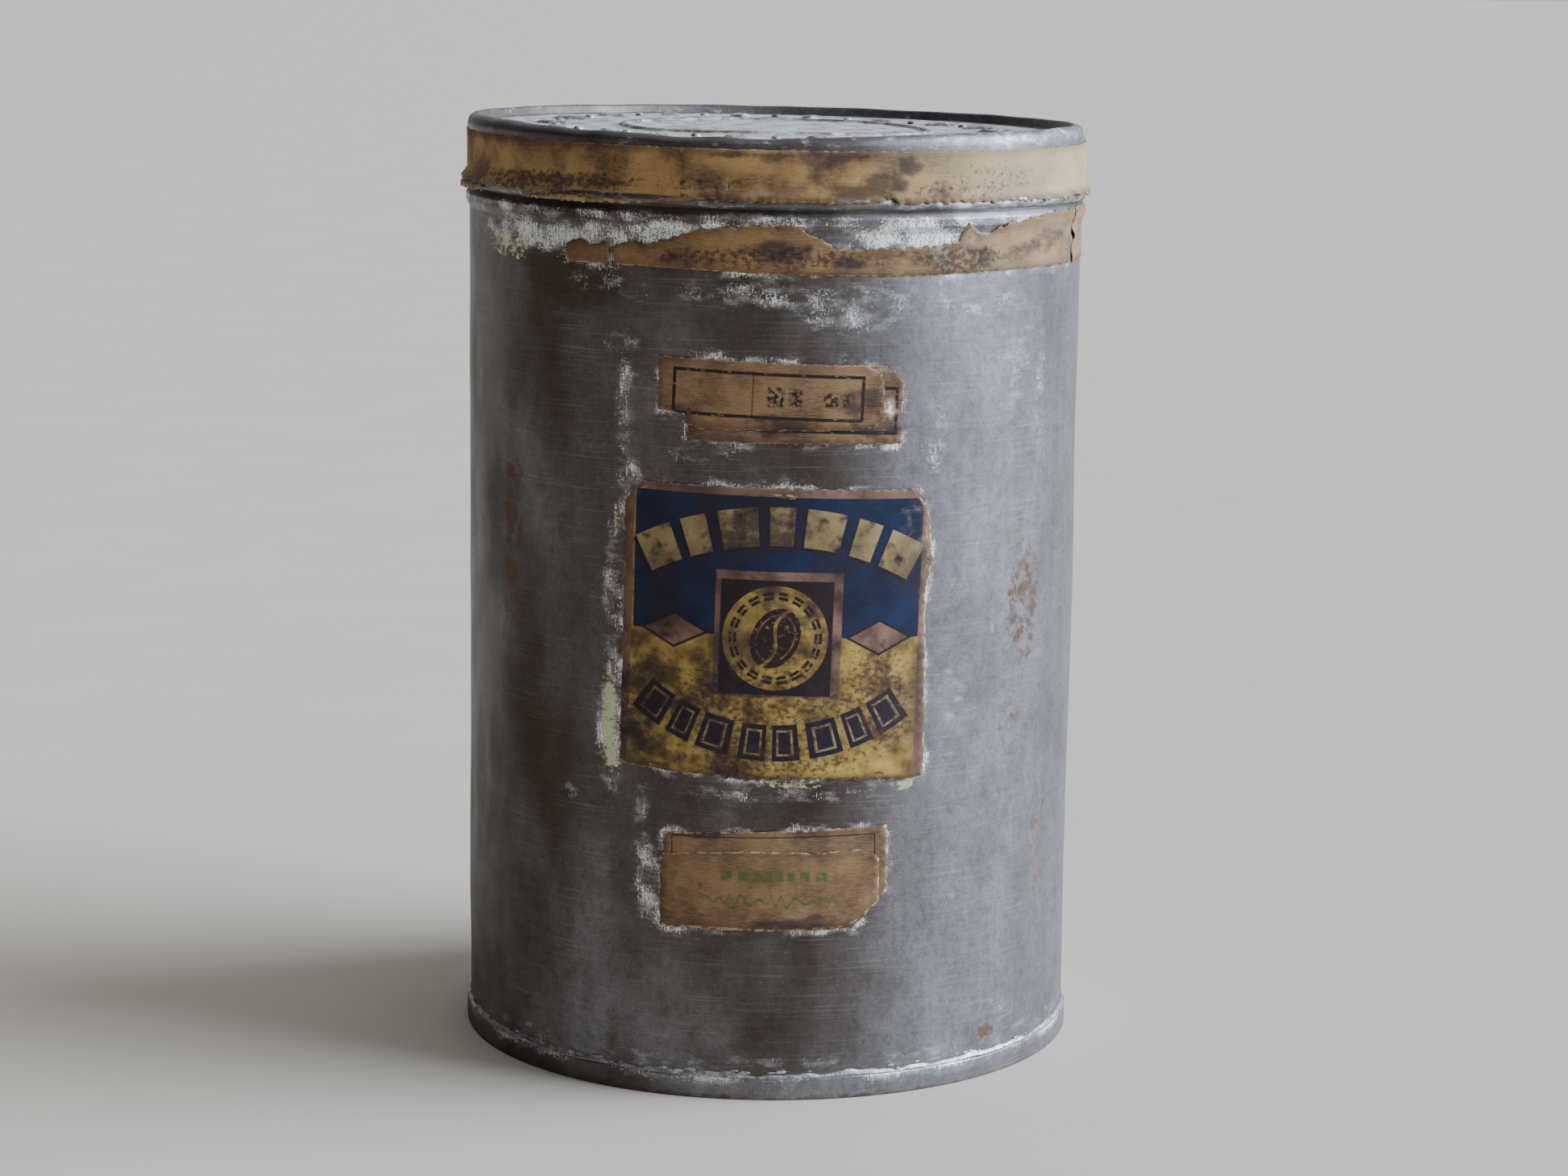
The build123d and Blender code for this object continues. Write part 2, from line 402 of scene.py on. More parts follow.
NECK_STRIP_END = [
    (121.8, 253.5, 0.05), (160, 254.6, 0.05), (205, 255.6, 0.3), (219, 257.6, 0.5), (214, 263.8, 0.6),
    (196, 266.5, 0.6), (172, 264.4, 0.6), (150, 269.5, 0.5), (136, 271.0, 0.5), (122.4, 270.8, 0.4),
    (120.9, 265.8, 0.3), (121.0, 259.0, 0.3),
]
NECK_SCRAP = [
    (-67.2, 255.9, 0.3), (-62, 255.7, 0.15), (-52.2, 255.6, 0.4), (-51.7, 259.5, 0.4), (-53, 262.4, 0.5),
    (-57.5, 261.2, 0.4), (-62.5, 262.9, 0.4), (-67.8, 261.3, 0.4), (-68.8, 258.4, 0.4),
]
WEIGHT_UNDER = [
    (-32.6, 83.1, 0.1), (-32.4, 53.4, 0.12), (-18.5, 53.6, 0.1), (0, 53.4, 0.15), (26.9, 54.0, 0.15),
    (37.6, 65.3, 0.1), (37.1, 85.8, 0.15), (7.9, 84.9, 0.1), (-5.3, 84.5, 0.1),
]
WEIGHT_OVER = [
    (-33.4, 76.4, 0.12), (-33.3, 53.7, 0.12), (-18, 54.1, 0.15), (2, 53.7, 0.15), (25.8, 54.6, 0.2),
    (35, 61.9, 0.15), (34.7, 75.5, 0.35), (31.2, 77.9, 0.35), (28.1, 78.6, 0.25), (12, 78.0, 0.3),
    (-2, 78.5, 0.2), (-18, 77.8, 0.2),
]
MAIN_UNDER = [
    (-45.3, 184.2, 0.15), (-46.2, 150, 0.15), (-46.0, 104.6, 0.3), (-20, 102.9, 0.5), (10, 102.2, 0.5),
    (49.3, 101.2, 0.15), (49.6, 135, 0.25), (49.1, 158, 0.25), (51.2, 167.9, 0.25), (50.7, 173.5, 0.2),
    (50.0, 182.7, 0.2), (46, 187.4, 0.2), (2, 188.4, 0.2), (-39.5, 189.6, 0.15),
]
MAIN_OVER = [
    (-39.7, 191.3, 0.12), (-45.6, 184.6, 0.15), (-46.3, 150, 0.2), (-47.2, 103.8, 0.2),
    (-31.3, 102.3, 0.45), (-5.6, 100.6, 0.5), (19.7, 100.9, 0.5), (42.7, 99.6, 0.2), (48.9, 100.4, 0.12),
    (49.0, 134.9, 0.12), (48.5, 160, 0.15), (49.9, 168, 0.12), (49.2, 174, 0.12), (48.8, 185.9, 0.15),
    (45.6, 189.1, 0.3), (25, 189.7, 0.3), (0, 190.4, 0.2), (-22, 190.8, 0.15),
]
BATCH_UNDER = [
    (-25.8, 213.0, 0.2), (-25.7, 204.0, 0.12), (6, 203.6, 0.15), (39.7, 203.2, 0.15), (40.3, 221.2, 0.3),
    (38.7, 224.6, 0.35), (33.1, 227.1, 0.3), (5, 227.0, 0.1), (-25, 227.6, 0.1),
]
BATCH_OVER = [
    (-35.1, 229.2, 0.1), (-34.9, 213.0, 0.15), (-26.4, 212.0, 0.5), (-25.6, 208.6, 0.35), (-22, 207.6, 0.2),
    (14.7, 207.5, 0.2), (31.2, 208.1, 0.3), (34.2, 210.8, 0.4), (34.0, 219.1, 0.4), (33.3, 224.2, 0.4),
    (28.6, 227.1, 0.2), (-5.5, 228.2, 0.1),
]
LABELS = (WEIGHT_UNDER, WEIGHT_OVER, MAIN_UNDER, MAIN_OVER, BATCH_UNDER, BATCH_OVER)


TEAR_STEP = 0.8  # between the points of a torn edge
TEAR_END = 1.2  # how far from a corner a tear is at full depth
CURL_REACH = 1.1  # how far in from its edge a paper lifts


def unleaned(outline):
    """The outline before the lean moves it, so that it ends where it was drawn."""
    return [(s, z + float(fallen(s, z)), tear) for s, z, tear in outline]


def torn(outline, seed):
    """The outline with each edge cut short and made ragged."""
    draw = random.Random(seed)
    points = []
    for (s0, z0, tear), (s1, z1, _) in zip(outline, outline[1:] + outline[:1]):
        run = math.hypot(s1 - s0, z1 - z0)
        count = max(1, round(run / TEAR_STEP))
        waves = [(draw.uniform(0.3, 2.6), draw.uniform(0, 6.3), draw.uniform(0.3, 1)) for _ in range(5)]
        for k in range(count):
            along = run * k / count
            push = sum(size * math.sin(rate * along + phase) for rate, phase, size in waves) / 2
            whole = min(1, along / TEAR_END, (run - along) / TEAR_END)
            push = tear * (push + draw.uniform(-0.5, 0.5)) * whole
            points.append((
                s0 + (s1 - s0) * k / count - (z1 - z0) / run * push,
                z0 + (z1 - z0) * k / count + (s1 - s0) / run * push,
            ))
    return points


def pasted(outline, bed, gap, thickness, grid, seed, flaps=(), lift=None):
    """Points, faces and flat places of one sheet pasted round the tin.
    bed gives the radius below it at each height. A flap is (round, height, reach, rise)."""
    edge = torn(unleaned(outline), seed)
    low, high = np.min(edge, 0), np.max(edge, 0)
    rows = np.arange(low[1] + grid / 2, high[1], grid * 0.87)
    inner = np.array([
        (s, z) for k, z in enumerate(rows) for s in np.arange(low[0] + (k % 2) * grid / 2, high[0], grid)
    ]).reshape(-1, 2)
    inner = inner[inside_outline(inner, edge)]
    inner = inner[from_outline(inner, edge) > grid * 0.45]
    seeds = [tuple(p) for p in edge] + [tuple(p) for p in inner]
    flat, _, triangles, *_ = delaunay_2d_cdt(seeds, [], [list(range(len(edge)))], 1, 1e-4)
    flat = np.array([tuple(p) for p in flat])
    from_edge = from_outline(flat, edge)
    s, z = flat.T
    if lift is None:
        lift = bpy.context.scene.tin_wear.edge_lift * MM
    rise = np.maximum(0, ripples(s / 9, z, ((1, 23, 0.5), (2.3, 11, 0.4), (4.1, 7, 0.4)), seed))
    rise = lift * rise * np.exp(-from_edge / CURL_REACH)
    for at_s, at_z, reach, height in flaps:
        rise = rise + height * (1 - ease(np.hypot(s - at_s, z - at_z), 0, reach)) ** 1.5
    back = bed(z) + gap + rise
    out = np.stack([np.sin(s / WALL), -np.cos(s / WALL)], 1)
    sides = [np.column_stack([radius[:, None] * out, z]) for radius in (back + thickness, back)]
    count = len(flat)
    faces = [tuple(t) for t in triangles] + [tuple(count + v for v in reversed(t)) for t in triangles]
    edges = {(t[i], t[(i + 1) % len(t)]) for t in triangles for i in range(len(t))}
    faces += [(b, a, count + a, count + b) for a, b in edges if (b, a) not in edges]
    place = np.stack([s, z - fallen(s, z), from_edge], 1)
    return np.vstack(sides), faces, np.vstack([place, place])


def dampness(flat):
    """How stained, how mouldy and how pale each place of a paper is."""
    s, z = flat[:, 0], flat[:, 1]
    return np.stack([spot(s, z, STAIN_SPOTS), spot(s, z, MOULD_SPOTS), spot(s, z, PALE_SPOTS)], 1)


# Damp in the papers: round, height, half width, half height, strength

STAIN_SPOTS = [
    (12, 289, 26, 3.2, 1.0), (14, 284, 7, 6, 0.8), (-14, 289.5, 12, 2.0, 0.9), (33, 281, 9, 5, 1.1),
    (24, 279, 11, 3.5, 1.1), (40, 286, 10, 4, 0.8), (52, 279, 9, 4, 0.75), (66, 284, 12, 5, 0.5),
    (-84, 287, 18, 5, 0.35), (-100, 284, 20, 8, 0.4), (60, 280, 5, 4, 0.6), (2, 261, 16, 5, 0.8),
    (20, 257.5, 12, 3, 0.9), (42, 259, 9, 4, 0.7), (-26, 258, 14, 4, 0.6), (68, 259, 8, 4, 0.8),
    (84, 259, 12, 4.5, 0.8), (100, 262, 14, 6, 0.75), (88, 283, 16, 6, 0.42), (8, 147, 26, 20, 0.65),
    (-4, 178, 24, 14, 0.95), (-18, 129, 13, 16, 0.75), (-34, 146, 9, 6, 0.6), (-36, 122, 18, 28, 0.9),
    (-28, 214, 12, 8, 0.6), (-30, 172, 10, 10, 0.35), (0, 158, 12, 12, 0.7), (-40, 104, 9, 4, 0.7),
    (-10, 103, 22, 3.5, 0.7), (28, 102, 18, 3, 0.6), (3, 208, 16, 3.5, 1.0), (-3, 211, 8, 3, 0.9),
    (27, 215, 10, 8, 0.8), (34, 207, 12, 4, 0.7), (-20, 221, 12, 6, 0.4), (6, 55.5, 18, 2.6, 1.15),
    (-22, 84, 16, 3, 0.9), (-24, 66, 8, 9, 0.55), (33, 83, 6, 4, 0.6), (18, 57, 10, 3, 0.8),
    (-30, 57, 5, 4, 0.7), (200, 284, 30, 8, 0.8), (-230, 284, 30, 8, 0.7), (-160, 280, 18, 5, 0.6),
    (170, 258, 26, 6, 0.8),
]
MOULD_SPOTS = [
    (-75, 280, 50, 4, 1.0), (-50, 284, 20, 8, 0.6), (-20, 281, 24, 4, 0.7), (60, 279, 40, 4, 0.7),
    (0, 259, 60, 5, 0.8), (60, 258, 26, 6, 0.9), (33, 125, 20, 26, 0.8), (0, 106, 46, 8, 0.8),
    (-4, 122, 46, 26, 0.78), (-40, 130, 9, 20, 0.6), (2, 144, 17, 17, 0.5), (0, 66, 30, 10, 0.4),
    (-10, 215, 24, 8, 0.35), (0, 284, 400, 8, 0.3), (90, 280, 50, 6, 0.45), (120, 287, 30, 4, 0.4),
    (70, 282, 34, 7, 0.62),
]
PALE_SPOTS = [
    (46, 178, 8, 12, 0.5), (42, 118, 7, 14, 0.35), (96, 283, 40, 9, 0.4), (52, 260, 4, 5, 0.9),
    (62, 265, 5, 4, 0.8), (-8, 279, 12, 3, 0.5), (-18, 278, 9, 2, 0.5), (33, 226, 4, 2, 0.8),
    (36, 214, 2.2, 4, 1.6), (-60, 282, 14, 5, 0.3),
]


def paper_piece(name, sheets, body, slot_name, node, material):
    """One piece from one or more pasted sheets."""
    points, faces, places = [], [], []
    for sheet_points, sheet_faces, flat in sheets:
        start = sum(len(p) for p in points)
        points.append(sheet_points)
        faces += [tuple(start + v for v in face) for face in sheet_faces]
        places.append(flat)
    flat = np.vstack(places)
    values = {"flat_mm": flat, "damp": dampness(flat)}
    return new_piece(name, np.vstack(points), faces, body, slot_name, node, material, **values)


# Sections of the tinplate, in millimetres: each line runs along the middle of the sheet

PANEL_DROP = 0.3  # base seam's top down to the edge of the bottom panel
STEP_RUN = 1.5  # slope of the bottom panel's raised step
FLOOR_TURN = 0.325  # where the bottom end turns on the floor
RIM_SLOPE = 1.1  # slope inside the lid's crest
RIM_RADIUS = 3.1  # outer turn of the lid's crest
CURL_TOP = 277.3  # height that parts the lid's rolled edge from its skirt in its wear
PANEL_LOW = 290.0  # height above which the lid's metal is panel or crest
PANEL_REACH = 93.0  # radius within which it is panel


class Tin:
    """Sizes that several pieces share, from the frame and the settings."""

    def __init__(self):
        size = bpy.context.scene.tin_plate
        papers = bpy.context.scene.tin_papers
        self.size = size
        self.sheet = size.sheet * MM
        self.gap = size.seam_gap * MM
        self.half = self.sheet / 2
        self.paper = papers.paper * MM
        self.paste = papers.paste * MM
        self.body_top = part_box("body_wall")[1].z * MM
        self.bead_top = self.body_top - size.neck_depth * MM
        self.bead_low = self.bead_top - size.bead_height * MM
        self.seam_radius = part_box("bottom_end")[1].x * MM
        low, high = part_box("lid_shell")
        self.curl_low = low.z * MM
        self.crest = high.z * MM
        self.skirt = high.x * MM - size.curl_rise * MM
        self.panel = self.crest - size.rim_rise * MM

    def wall_line(self):
        """Base hook, wall, neck bead and hem."""
        s = self.size
        hook = WALL + self.sheet + 2 * self.gap + self.half
        hook_low = 2 * self.sheet + self.gap - self.half
        hook_top = SEAM_HEIGHT - self.sheet - s.hook_play * MM
        wall = WALL - self.half
        hem = wall - self.sheet - self.gap
        top = self.body_top - self.half
        slope = s.bead_height * MM / 3
        rise = s.bead_rise * MM
        points = [
            (hook, hook_top), (hook, hook_low), (wall, hook_low), (wall, self.bead_low),
            (wall + rise, self.bead_low + slope), (wall + rise, self.bead_top - slope),
            (wall, self.bead_top), (wall, top), (hem, top), (hem, self.body_top - s.hem_depth * MM),
        ]
        soft = s.bead_height * MM / 6
        turn = (hook - wall) * 0.45
        fold = (wall - hem) * 0.48
        return rounded(points, [turn, turn, soft, soft, soft, soft, fold, fold])

    def bottom_line(self):
        """Seam's outer fold, floor edge and sunken panel."""
        s = self.size
        hook = WALL + self.gap + self.half
        seam = self.seam_radius - self.half
        chuck = WALL - self.sheet - self.gap - self.half
        panel = SEAM_HEIGHT - PANEL_DROP - self.half
        step = WALL - s.step_inset * MM
        rise = s.step_rise * MM
        points = [
            (hook, 2 * self.sheet + self.gap + s.hook_play * MM), (hook, SEAM_HEIGHT - self.half),
            (seam, SEAM_HEIGHT - self.half), (seam, self.half), (chuck, self.half), (chuck, panel),
            (step, panel), (step - STEP_RUN, panel + rise), (0, panel + rise),
        ]
        turn = (seam - hook) * 0.45
        bend = 2 * self.sheet
        return rounded(points, [turn, turn, FLOOR_TURN, FLOOR_TURN, bend, bend, bend])

    def lid_line(self):
        """Rolled edge, skirt, crest and panel with its raised ring."""
        s = self.size
        curl = self.skirt + s.curl_rise * MM - self.half
        curl_top = self.curl_low + s.curl_height * MM
        skirt = self.skirt - self.half
        crest = self.crest - self.half
        panel = self.panel - self.half
        inner = self.skirt - s.rim_width * MM
        ring_out = (s.ring_radius + s.ring_width / 2) * MM
        ring_in = (s.ring_radius - s.ring_width / 2) * MM
        rise = s.ring_rise * MM
        points = [
            (skirt + self.gap, self.curl_low + self.half), (curl, self.curl_low + self.half),
            (curl, curl_top - self.half), (skirt, curl_top - self.half), (skirt, crest),
            (inner, crest), (inner - RIM_SLOPE, panel), (ring_out, panel), (ring_out - rise, panel + rise),
            (ring_in + rise, panel + rise), (ring_in, panel), (0, panel),
        ]
        roll = s.curl_height * MM * 0.42
        bend = 2 * self.sheet
        small = rise * 0.45
        return rounded(points, [roll, roll, self.sheet, RIM_RADIUS - self.half, bend, bend] + [small] * 4)

    def bed(self, line, beyond, above, height):
        """Outside radius of a sheet at a height, from what lies beyond a radius and above a height."""
        shown = moved_aside(line, -self.half)
        side = shown[(shown[:, 0] > beyond) & (shown[:, 1] > above)]
        side = side[np.argsort(side[:, 1])]
        return np.interp(height, side[:, 1], side[:, 0])

    def wall_bed(self, height):
        """Radius of the wall's outside at a height, bead included."""
        return self.bed(self.wall_line(), WALL - 0.3, SEAM_HEIGHT + 0.5, height)

    def lid_bed(self, height):
        """Radius of the skirt and the upper half of the rolled edge at a height."""
        return self.bed(self.lid_line(), self.skirt - 0.02, self.curl_low + 1.2, height)


def dented_lid(points):
    """The lid's crest pressed down at the front, and its panel a little wavy."""
    x, y, z = np.asarray(points, float).T
    turn = np.arctan2(x, -y)
    reach = np.hypot(x, y) / WALL
    places = (-180, -120, -75, -55, -41, -30, -23, -9, -1, 5, 13, 27, 46, 70, 100, 150, 180)
    drops = (0.2, 0.1, 0.4, 0.0, -0.7, -1.05, -1.3, -1.56, -1.65, -1.2, -0.55, 0.3, 0.9, 1.1, 0.6, 0.2, 0.2)
    push = np.interp(np.degrees(turn), places, drops)
    flutter = around(turn, ((19, 0.16), (33, 0.1)), 6) * (1 - ease(np.abs(np.degrees(turn) + 22), 12, 34))
    edge = around(turn, ((11, 0.07), (23, 0.06)), 7)
    z = z + (push + flutter + edge) * ease(z, 291.3, 295.3) * ease(reach, 0.948, 0.972)
    panel = ripples(turn, reach * 90, ((2, 120, 0.25), (3, 60, 0.16), (5, 45, 0.1)), 8)
    z = z + panel * ease(z, PANEL_LOW, 292) * between(reach, (0.05, 0.3), (0.86, 0.93))
    z = z + around(turn, ((9, 0.08), (21, 0.06)), 9) * (1 - ease(z, 276.5, CURL_TOP))
    return np.stack([x, y, z], 1)


# Materials

MATH, VECTOR, RANGE = "ShaderNodeMath", "ShaderNodeVectorMath", "ShaderNodeMapRange"
SPLIT, JOIN, NAMED = "ShaderNodeSeparateXYZ", "ShaderNodeCombineXYZ", "ShaderNodeAttribute"


def add(tree, kind, *values, **settings):
    """Adds a node with its settings, gives each input a value or a link, and returns its first output.
    The values go to the inputs in order, and those of a dictionary to the inputs it names."""
    node = tree.nodes.new(kind)
    for name, value in settings.items():
        setattr(node, name, value)
    for place, value in enumerate(values):
        for key, item in (value.items() if isinstance(value, dict) else [(place, value)]):
            if isinstance(item, bpy.types.NodeSocket):
                tree.links.new(item, node.inputs[key])
            elif item is not None:
                node.inputs[key].default_value = item
    return node.outputs[0] if node.outputs else None


def new_material(name):
    """A material with an empty tree, its shader and its output."""
    material = bpy.data.materials.new(name)
    material.use_nodes = True
    tree = material.node_tree
    tree.nodes.clear()
    shaded = add(tree, "ShaderNodeBsdfPrincipled")
    add(tree, "ShaderNodeOutputMaterial", {"Surface": shaded})
    return material, tree, shaded.node


def finish(tree, shader, **sockets):
    """Links or sets the shader's sockets: an underscore in a name stands for a space."""
    for name, value in sockets.items():
        socket = shader.inputs[name.replace("_", " ")]
        if isinstance(value, bpy.types.NodeSocket):
            tree.links.new(value, socket)
        else:
            socket.default_value = value


def object_place(tree):
    """Object coordinates in millimetres."""
    coords = add(tree, "ShaderNodeTexCoord").node.outputs["Object"]
    return add(tree, VECTOR, coords, (MM, MM, MM), operation="MULTIPLY")


def cloud(tree, place, size, detail, rough, shift):
    """Noise from 0 to 1: size is one patch in millimetres, or its three sides."""
    sides = size if isinstance(size, tuple) else (size, size, size)
    finer = tuple(1 / side for side in sides)
    scaled = add(tree, VECTOR, place, finer, (shift, shift, shift), operation="MULTIPLY_ADD")
    noise = {"Vector": scaled, "Scale": 1.0, "Detail": detail, "Roughness": rough}
    return add(tree, "ShaderNodeTexNoise", noise)


def patches(tree, place, size, low, high, detail=3.0, rough=0.55, shift=0.0):
    """A mask of soft patches."""
    noise = cloud(tree, place, size, detail, rough, shift)
    return add(tree, RANGE, noise, low, high, interpolation_type="SMOOTHSTEP")


def grown(tree, place, size, amount, low, high, detail=4.0, rough=0.6, shift=0.0):
    """Patches that spread where amount is high: a mask that is rare at 0 and nearly full at 1."""
    noise = cloud(tree, place, size, detail, rough, shift)
    pushed = add(tree, MATH, amount, 0.42, noise, operation="MULTIPLY_ADD")
    return add(tree, RANGE, pushed, low, high, interpolation_type="SMOOTHSTEP")


def layered(tree, base, layers):
    """Colours laid over a base in turn: each has a mask, how strongly it covers, and its colour."""
    for mask, share, tone in layers:
        covered = mask if share == 1 else product(tree, mask, share)
        base = add(tree, "ShaderNodeMix", {0: covered, 6: base, 7: tone}, data_type="RGBA").node.outputs[2]
    return base


def product(tree, *masks):
    """All the masks at once."""
    result = masks[0]
    for mask in masks[1:]:
        result = add(tree, MATH, result, mask, operation="MULTIPLY")
    return result


def mixed(tree, value, share, rest):
    """Share of the value, added to the rest."""
    return add(tree, MATH, value, share, rest, operation="MULTIPLY_ADD")


def tinplate(name, tone=0.5, bright_size=(0.8, 0.8, 0.5), rust_share=0.0, haze=0.3):
    """Hot-dipped tinplate dulled by a century of handling: a soft grey metal with a brown film, rubbed
    streaks that run round the tin, bright flecks where paper kept the air off and where a painted highlight
    is laid on, grime that also lays on painted shade, and spots of rust."""
    tones = bpy.context.scene.tin_colours
    material, tree, shader = new_material(name)
    place = object_place(tree)
    worn = add(tree, NAMED, attribute_name="wear").node.outputs["Vector"]
    # The wear attribute holds bright tin, rust and grime; its bright part also carries painted highlight and
    # its grime part painted shade.
    bright, rusted, handled = add(tree, SPLIT, worn).node.outputs
    pasted_over = add(tree, NAMED, attribute_name="paste_left").node.outputs["Fac"]
    film = patches(tree, place, (38, 38, 70), 0.32, 0.68)
    runs = patches(tree, place, (7, 7, 150), 0.35, 0.7, detail=5)
    cloudy = patches(tree, place, 11, 0.35, 0.72, detail=6)
    grain = patches(tree, place, 0.9, 0.3, 0.75, detail=3, rough=0.7)
    mottle = patches(tree, place, (2.6, 2.6, 3.4), 0.44, 0.64, detail=7, rough=0.72, shift=2.0)
    nicks = patches(tree, place, (1.3, 1.3, 0.8), 0.65, 0.69, detail=3, rough=0.7, shift=6.0)
    rubbed = patches(tree, place, (22, 22, 0.45), 0.52, 0.78, detail=4)
    grime_and_shade = grown(tree, place, 30, handled, 0.38, 1.12, detail=7)
    fleck = grown(tree, place, bright_size, bright, 0.85, 0.89, detail=3, rough=0.75)
    scratch = grown(tree, place, (0.45, 0.45, 3.4), bright, 0.86, 0.91, detail=3, rough=0.7, shift=9.0)
    near = 0.22 * haze
    dust = grown(tree, place, (6, 6, 2.6), bright, 0.72 - near, 1.02 - near, detail=6, rough=0.7, shift=7.0)
    glue = grown(tree, place, (2.4, 2.4, 1.6), pasted_over, 0.8, 0.92, detail=7, rough=0.75, shift=4.0)
    rust = grown(tree, place, 4.2, rusted, 0.78 - rust_share, 1.0 - rust_share, detail=8, rough=0.75)
    used = add(tree, MATH, handled, 1.1, 0.3, operation="MULTIPLY_ADD", use_clamp=True)
    dusty = product(tree, dust, haze)
    rust_only = product(tree, rust, add(tree, MATH, 1.0, fleck, operation="SUBTRACT"))
    base = layered(tree, tones.tin, [
        (product(tree, mixed(tree, film, 0.45, tone * 0.9), used), 1, tones.patina),
        (runs, 0.18, tones.patina),
        (cloudy, 0.2, tones.grime_and_shade),
        (grain, 0.3, tones.grime_and_shade),
        (mottle, 0.26, tones.grime_and_shade),
        (rubbed, 0.14, tones.bare),
        (nicks, 0.55, tones.tin),
        (grime_and_shade, 0.75, tones.grime_and_shade),
        (dusty, 1, tones.bare),
        (fleck, 1, tones.bare),
        (scratch, 1, tones.bare),
        (glue, 1, tones.glue),
        (rust_only, 1, tones.rust),
    ])
    shine = mixed(tree, rust, -0.6, 0.8)
    shine = add(tree, MATH, dusty, -0.55, shine, operation="MULTIPLY_ADD", use_clamp=True)
    dull = mixed(tree, rust, 0.35, mixed(tree, film, 0.16, 0.4))
    relief = mixed(tree, fleck, 0.5, mixed(tree, grain, 0.4, rust))
    bump = add(tree, "ShaderNodeBump", {"Height": relief, "Strength": 0.3, "Distance": 0.00012})
    finish(tree, shader, Base_Color=base, Metallic=shine, Roughness=dull, Normal=bump)
    return material


def soft_solder(name):
    """Wiped lead-tin solder: a pale grey metal, duller than the tin, with a pitted, runny skin."""
    tones = bpy.context.scene.tin_colours
    material, tree, shader = new_material(name)
    place = object_place(tree)
    pits = patches(tree, place, 0.7, 0.45, 0.7)
    runs = patches(tree, place, (3, 3, 1.4), 0.4, 0.7, detail=5)
    rust = patches(tree, place, 4.5, 0.56, 0.7, detail=6)
    coats = [(runs, 0.7, tones.bare), (pits, 0.5, tones.patina), (rust, 0.7, tones.rust)]
    base = layered(tree, tones.solder, coats)
    bump = add(tree, "ShaderNodeBump", {"Height": pits, "Strength": 0.5, "Distance": 0.0001})
    finish(tree, shader, Base_Color=base, Metallic=0.85, Roughness=0.46, Normal=bump)
    return material


def aged_paper(name, light, dark, print_on=None, mould=0.5, stain=0.5, fade=0.0, torn_edge=0.7, cockle=0.4):
    """Old pasted paper: matte fibres, cloudy browning, damp stains and specks of mould.
    The pattern lies on the sheet's own flat millimetres, round and up."""
    tones = bpy.context.scene.tin_colours
    material, tree, shader = new_material(name)
    flat = add(tree, NAMED, attribute_name="flat_mm").node.outputs["Vector"]
    round_, _, from_edge = add(tree, SPLIT, flat).node.outputs
    place = add(tree, VECTOR, flat, (1, 1, 0), operation="MULTIPLY")
    aged = add(tree, NAMED, attribute_name="damp").node.outputs["Vector"]
    damp_here, mould_here, pale_here = add(tree, SPLIT, aged).node.outputs
    clouds = patches(tree, place, 15, 0.36, 0.66, detail=5)
    fibre = patches(tree, place, (3.0, 0.5, 1), 0.35, 0.75, detail=4, rough=0.7)
    fine = patches(tree, place, 0.8, 0.3, 0.8, detail=3)
    low, high = 0.74 - 0.1 * stain, 0.98 - 0.06 * stain
    damp = grown(tree, place, (9, 7, 1), damp_here, low, high, detail=8, rough=0.66, shift=3.0)
    soot = grown(tree, place, (1.8, 1.5, 1), mould_here, 0.82 - 0.06 * mould, 0.93, detail=5, rough=0.6)
    cloudy_mould = grown(tree, place, (4.5, 4.5, 1), mould_here, 0.8, 0.98, detail=6, rough=0.7, shift=5.0)
    faded = grown(tree, place, (7, 5, 1), pale_here, 0.66, 0.98, detail=6, rough=0.6, shift=11.0)
    ragged_core = grown(tree, place, (1.2, 1.2, 1), pale_here, 1.02, 1.1, detail=4)
    base = layered(tree, light, [(clouds, 1, dark)])
    if fade:
        pale = add(tree, RANGE, round_, 15.0, 90.0, None, fade, interpolation_type="SMOOTHSTEP")
        base = layered(tree, base, [(pale, 1, tones.kraft_pale)])
    base = layered(tree, base, [(fibre, 0.2, tones.core), (fine, 0.16, tones.label_dark)])
    if print_on:
        base = print_on(tree, flat, base, tones)
    edge = add(tree, RANGE, from_edge, 0.55, 0.05, interpolation_type="SMOOTHSTEP")
    frayed = product(tree, edge, patches(tree, place, 2.4, 0.45, 0.6))
    edge_dark = add(tree, RANGE, from_edge, 3.0, 0.2, None, 0.4, interpolation_type="SMOOTHSTEP")
    base = layered(tree, base, [
        (faded, 0.4, tones.core),
        (edge_dark, 1, tones.label_dark),
        (cloudy_mould, 0.45, tones.label_dark),
        (damp, 0.45 + 0.45 * stain, tones.stain),
        (soot, 0.7, tones.stain),
        (frayed, torn_edge, tones.core),
        (ragged_core, 1, linear("#e6e2d8")),
    ])
    creases = patches(tree, place, (6, 9, 1), 0.3, 0.7, detail=4)
    relief = mixed(tree, creases, 3.0 * cockle, fibre)
    bump = add(tree, "ShaderNodeBump", {"Height": relief, "Strength": 0.35, "Distance": 0.00018})
    finish(tree, shader, Base_Color=base, Roughness=0.82, Specular_IOR_Level=0.3, Normal=bump)
    return material


# Printing: each mask is 1 where the ink is. Places are flat millimetres, round and up.


def inked(tree, distance, soft=0.25):
    """1 where the distance is below zero, with a slightly soft edge."""
    return add(tree, RANGE, distance, soft / 2, -soft / 2)


def from_centre(tree, place, centre):
    """How far a place is from a centre, to the side and up, without sign."""
    moved = add(tree, VECTOR, place, (*centre, 0), operation="SUBTRACT")
    return add(tree, VECTOR, moved, operation="ABSOLUTE")


def box_distance(tree, place, centre, half):
    """Distance outside a box, below zero inside it."""
    beyond = add(tree, VECTOR, from_centre(tree, place, centre), (*half, 0), operation="SUBTRACT")
    side, up, _ = add(tree, SPLIT, beyond).node.outputs
    return add(tree, MATH, side, up, operation="MAXIMUM")


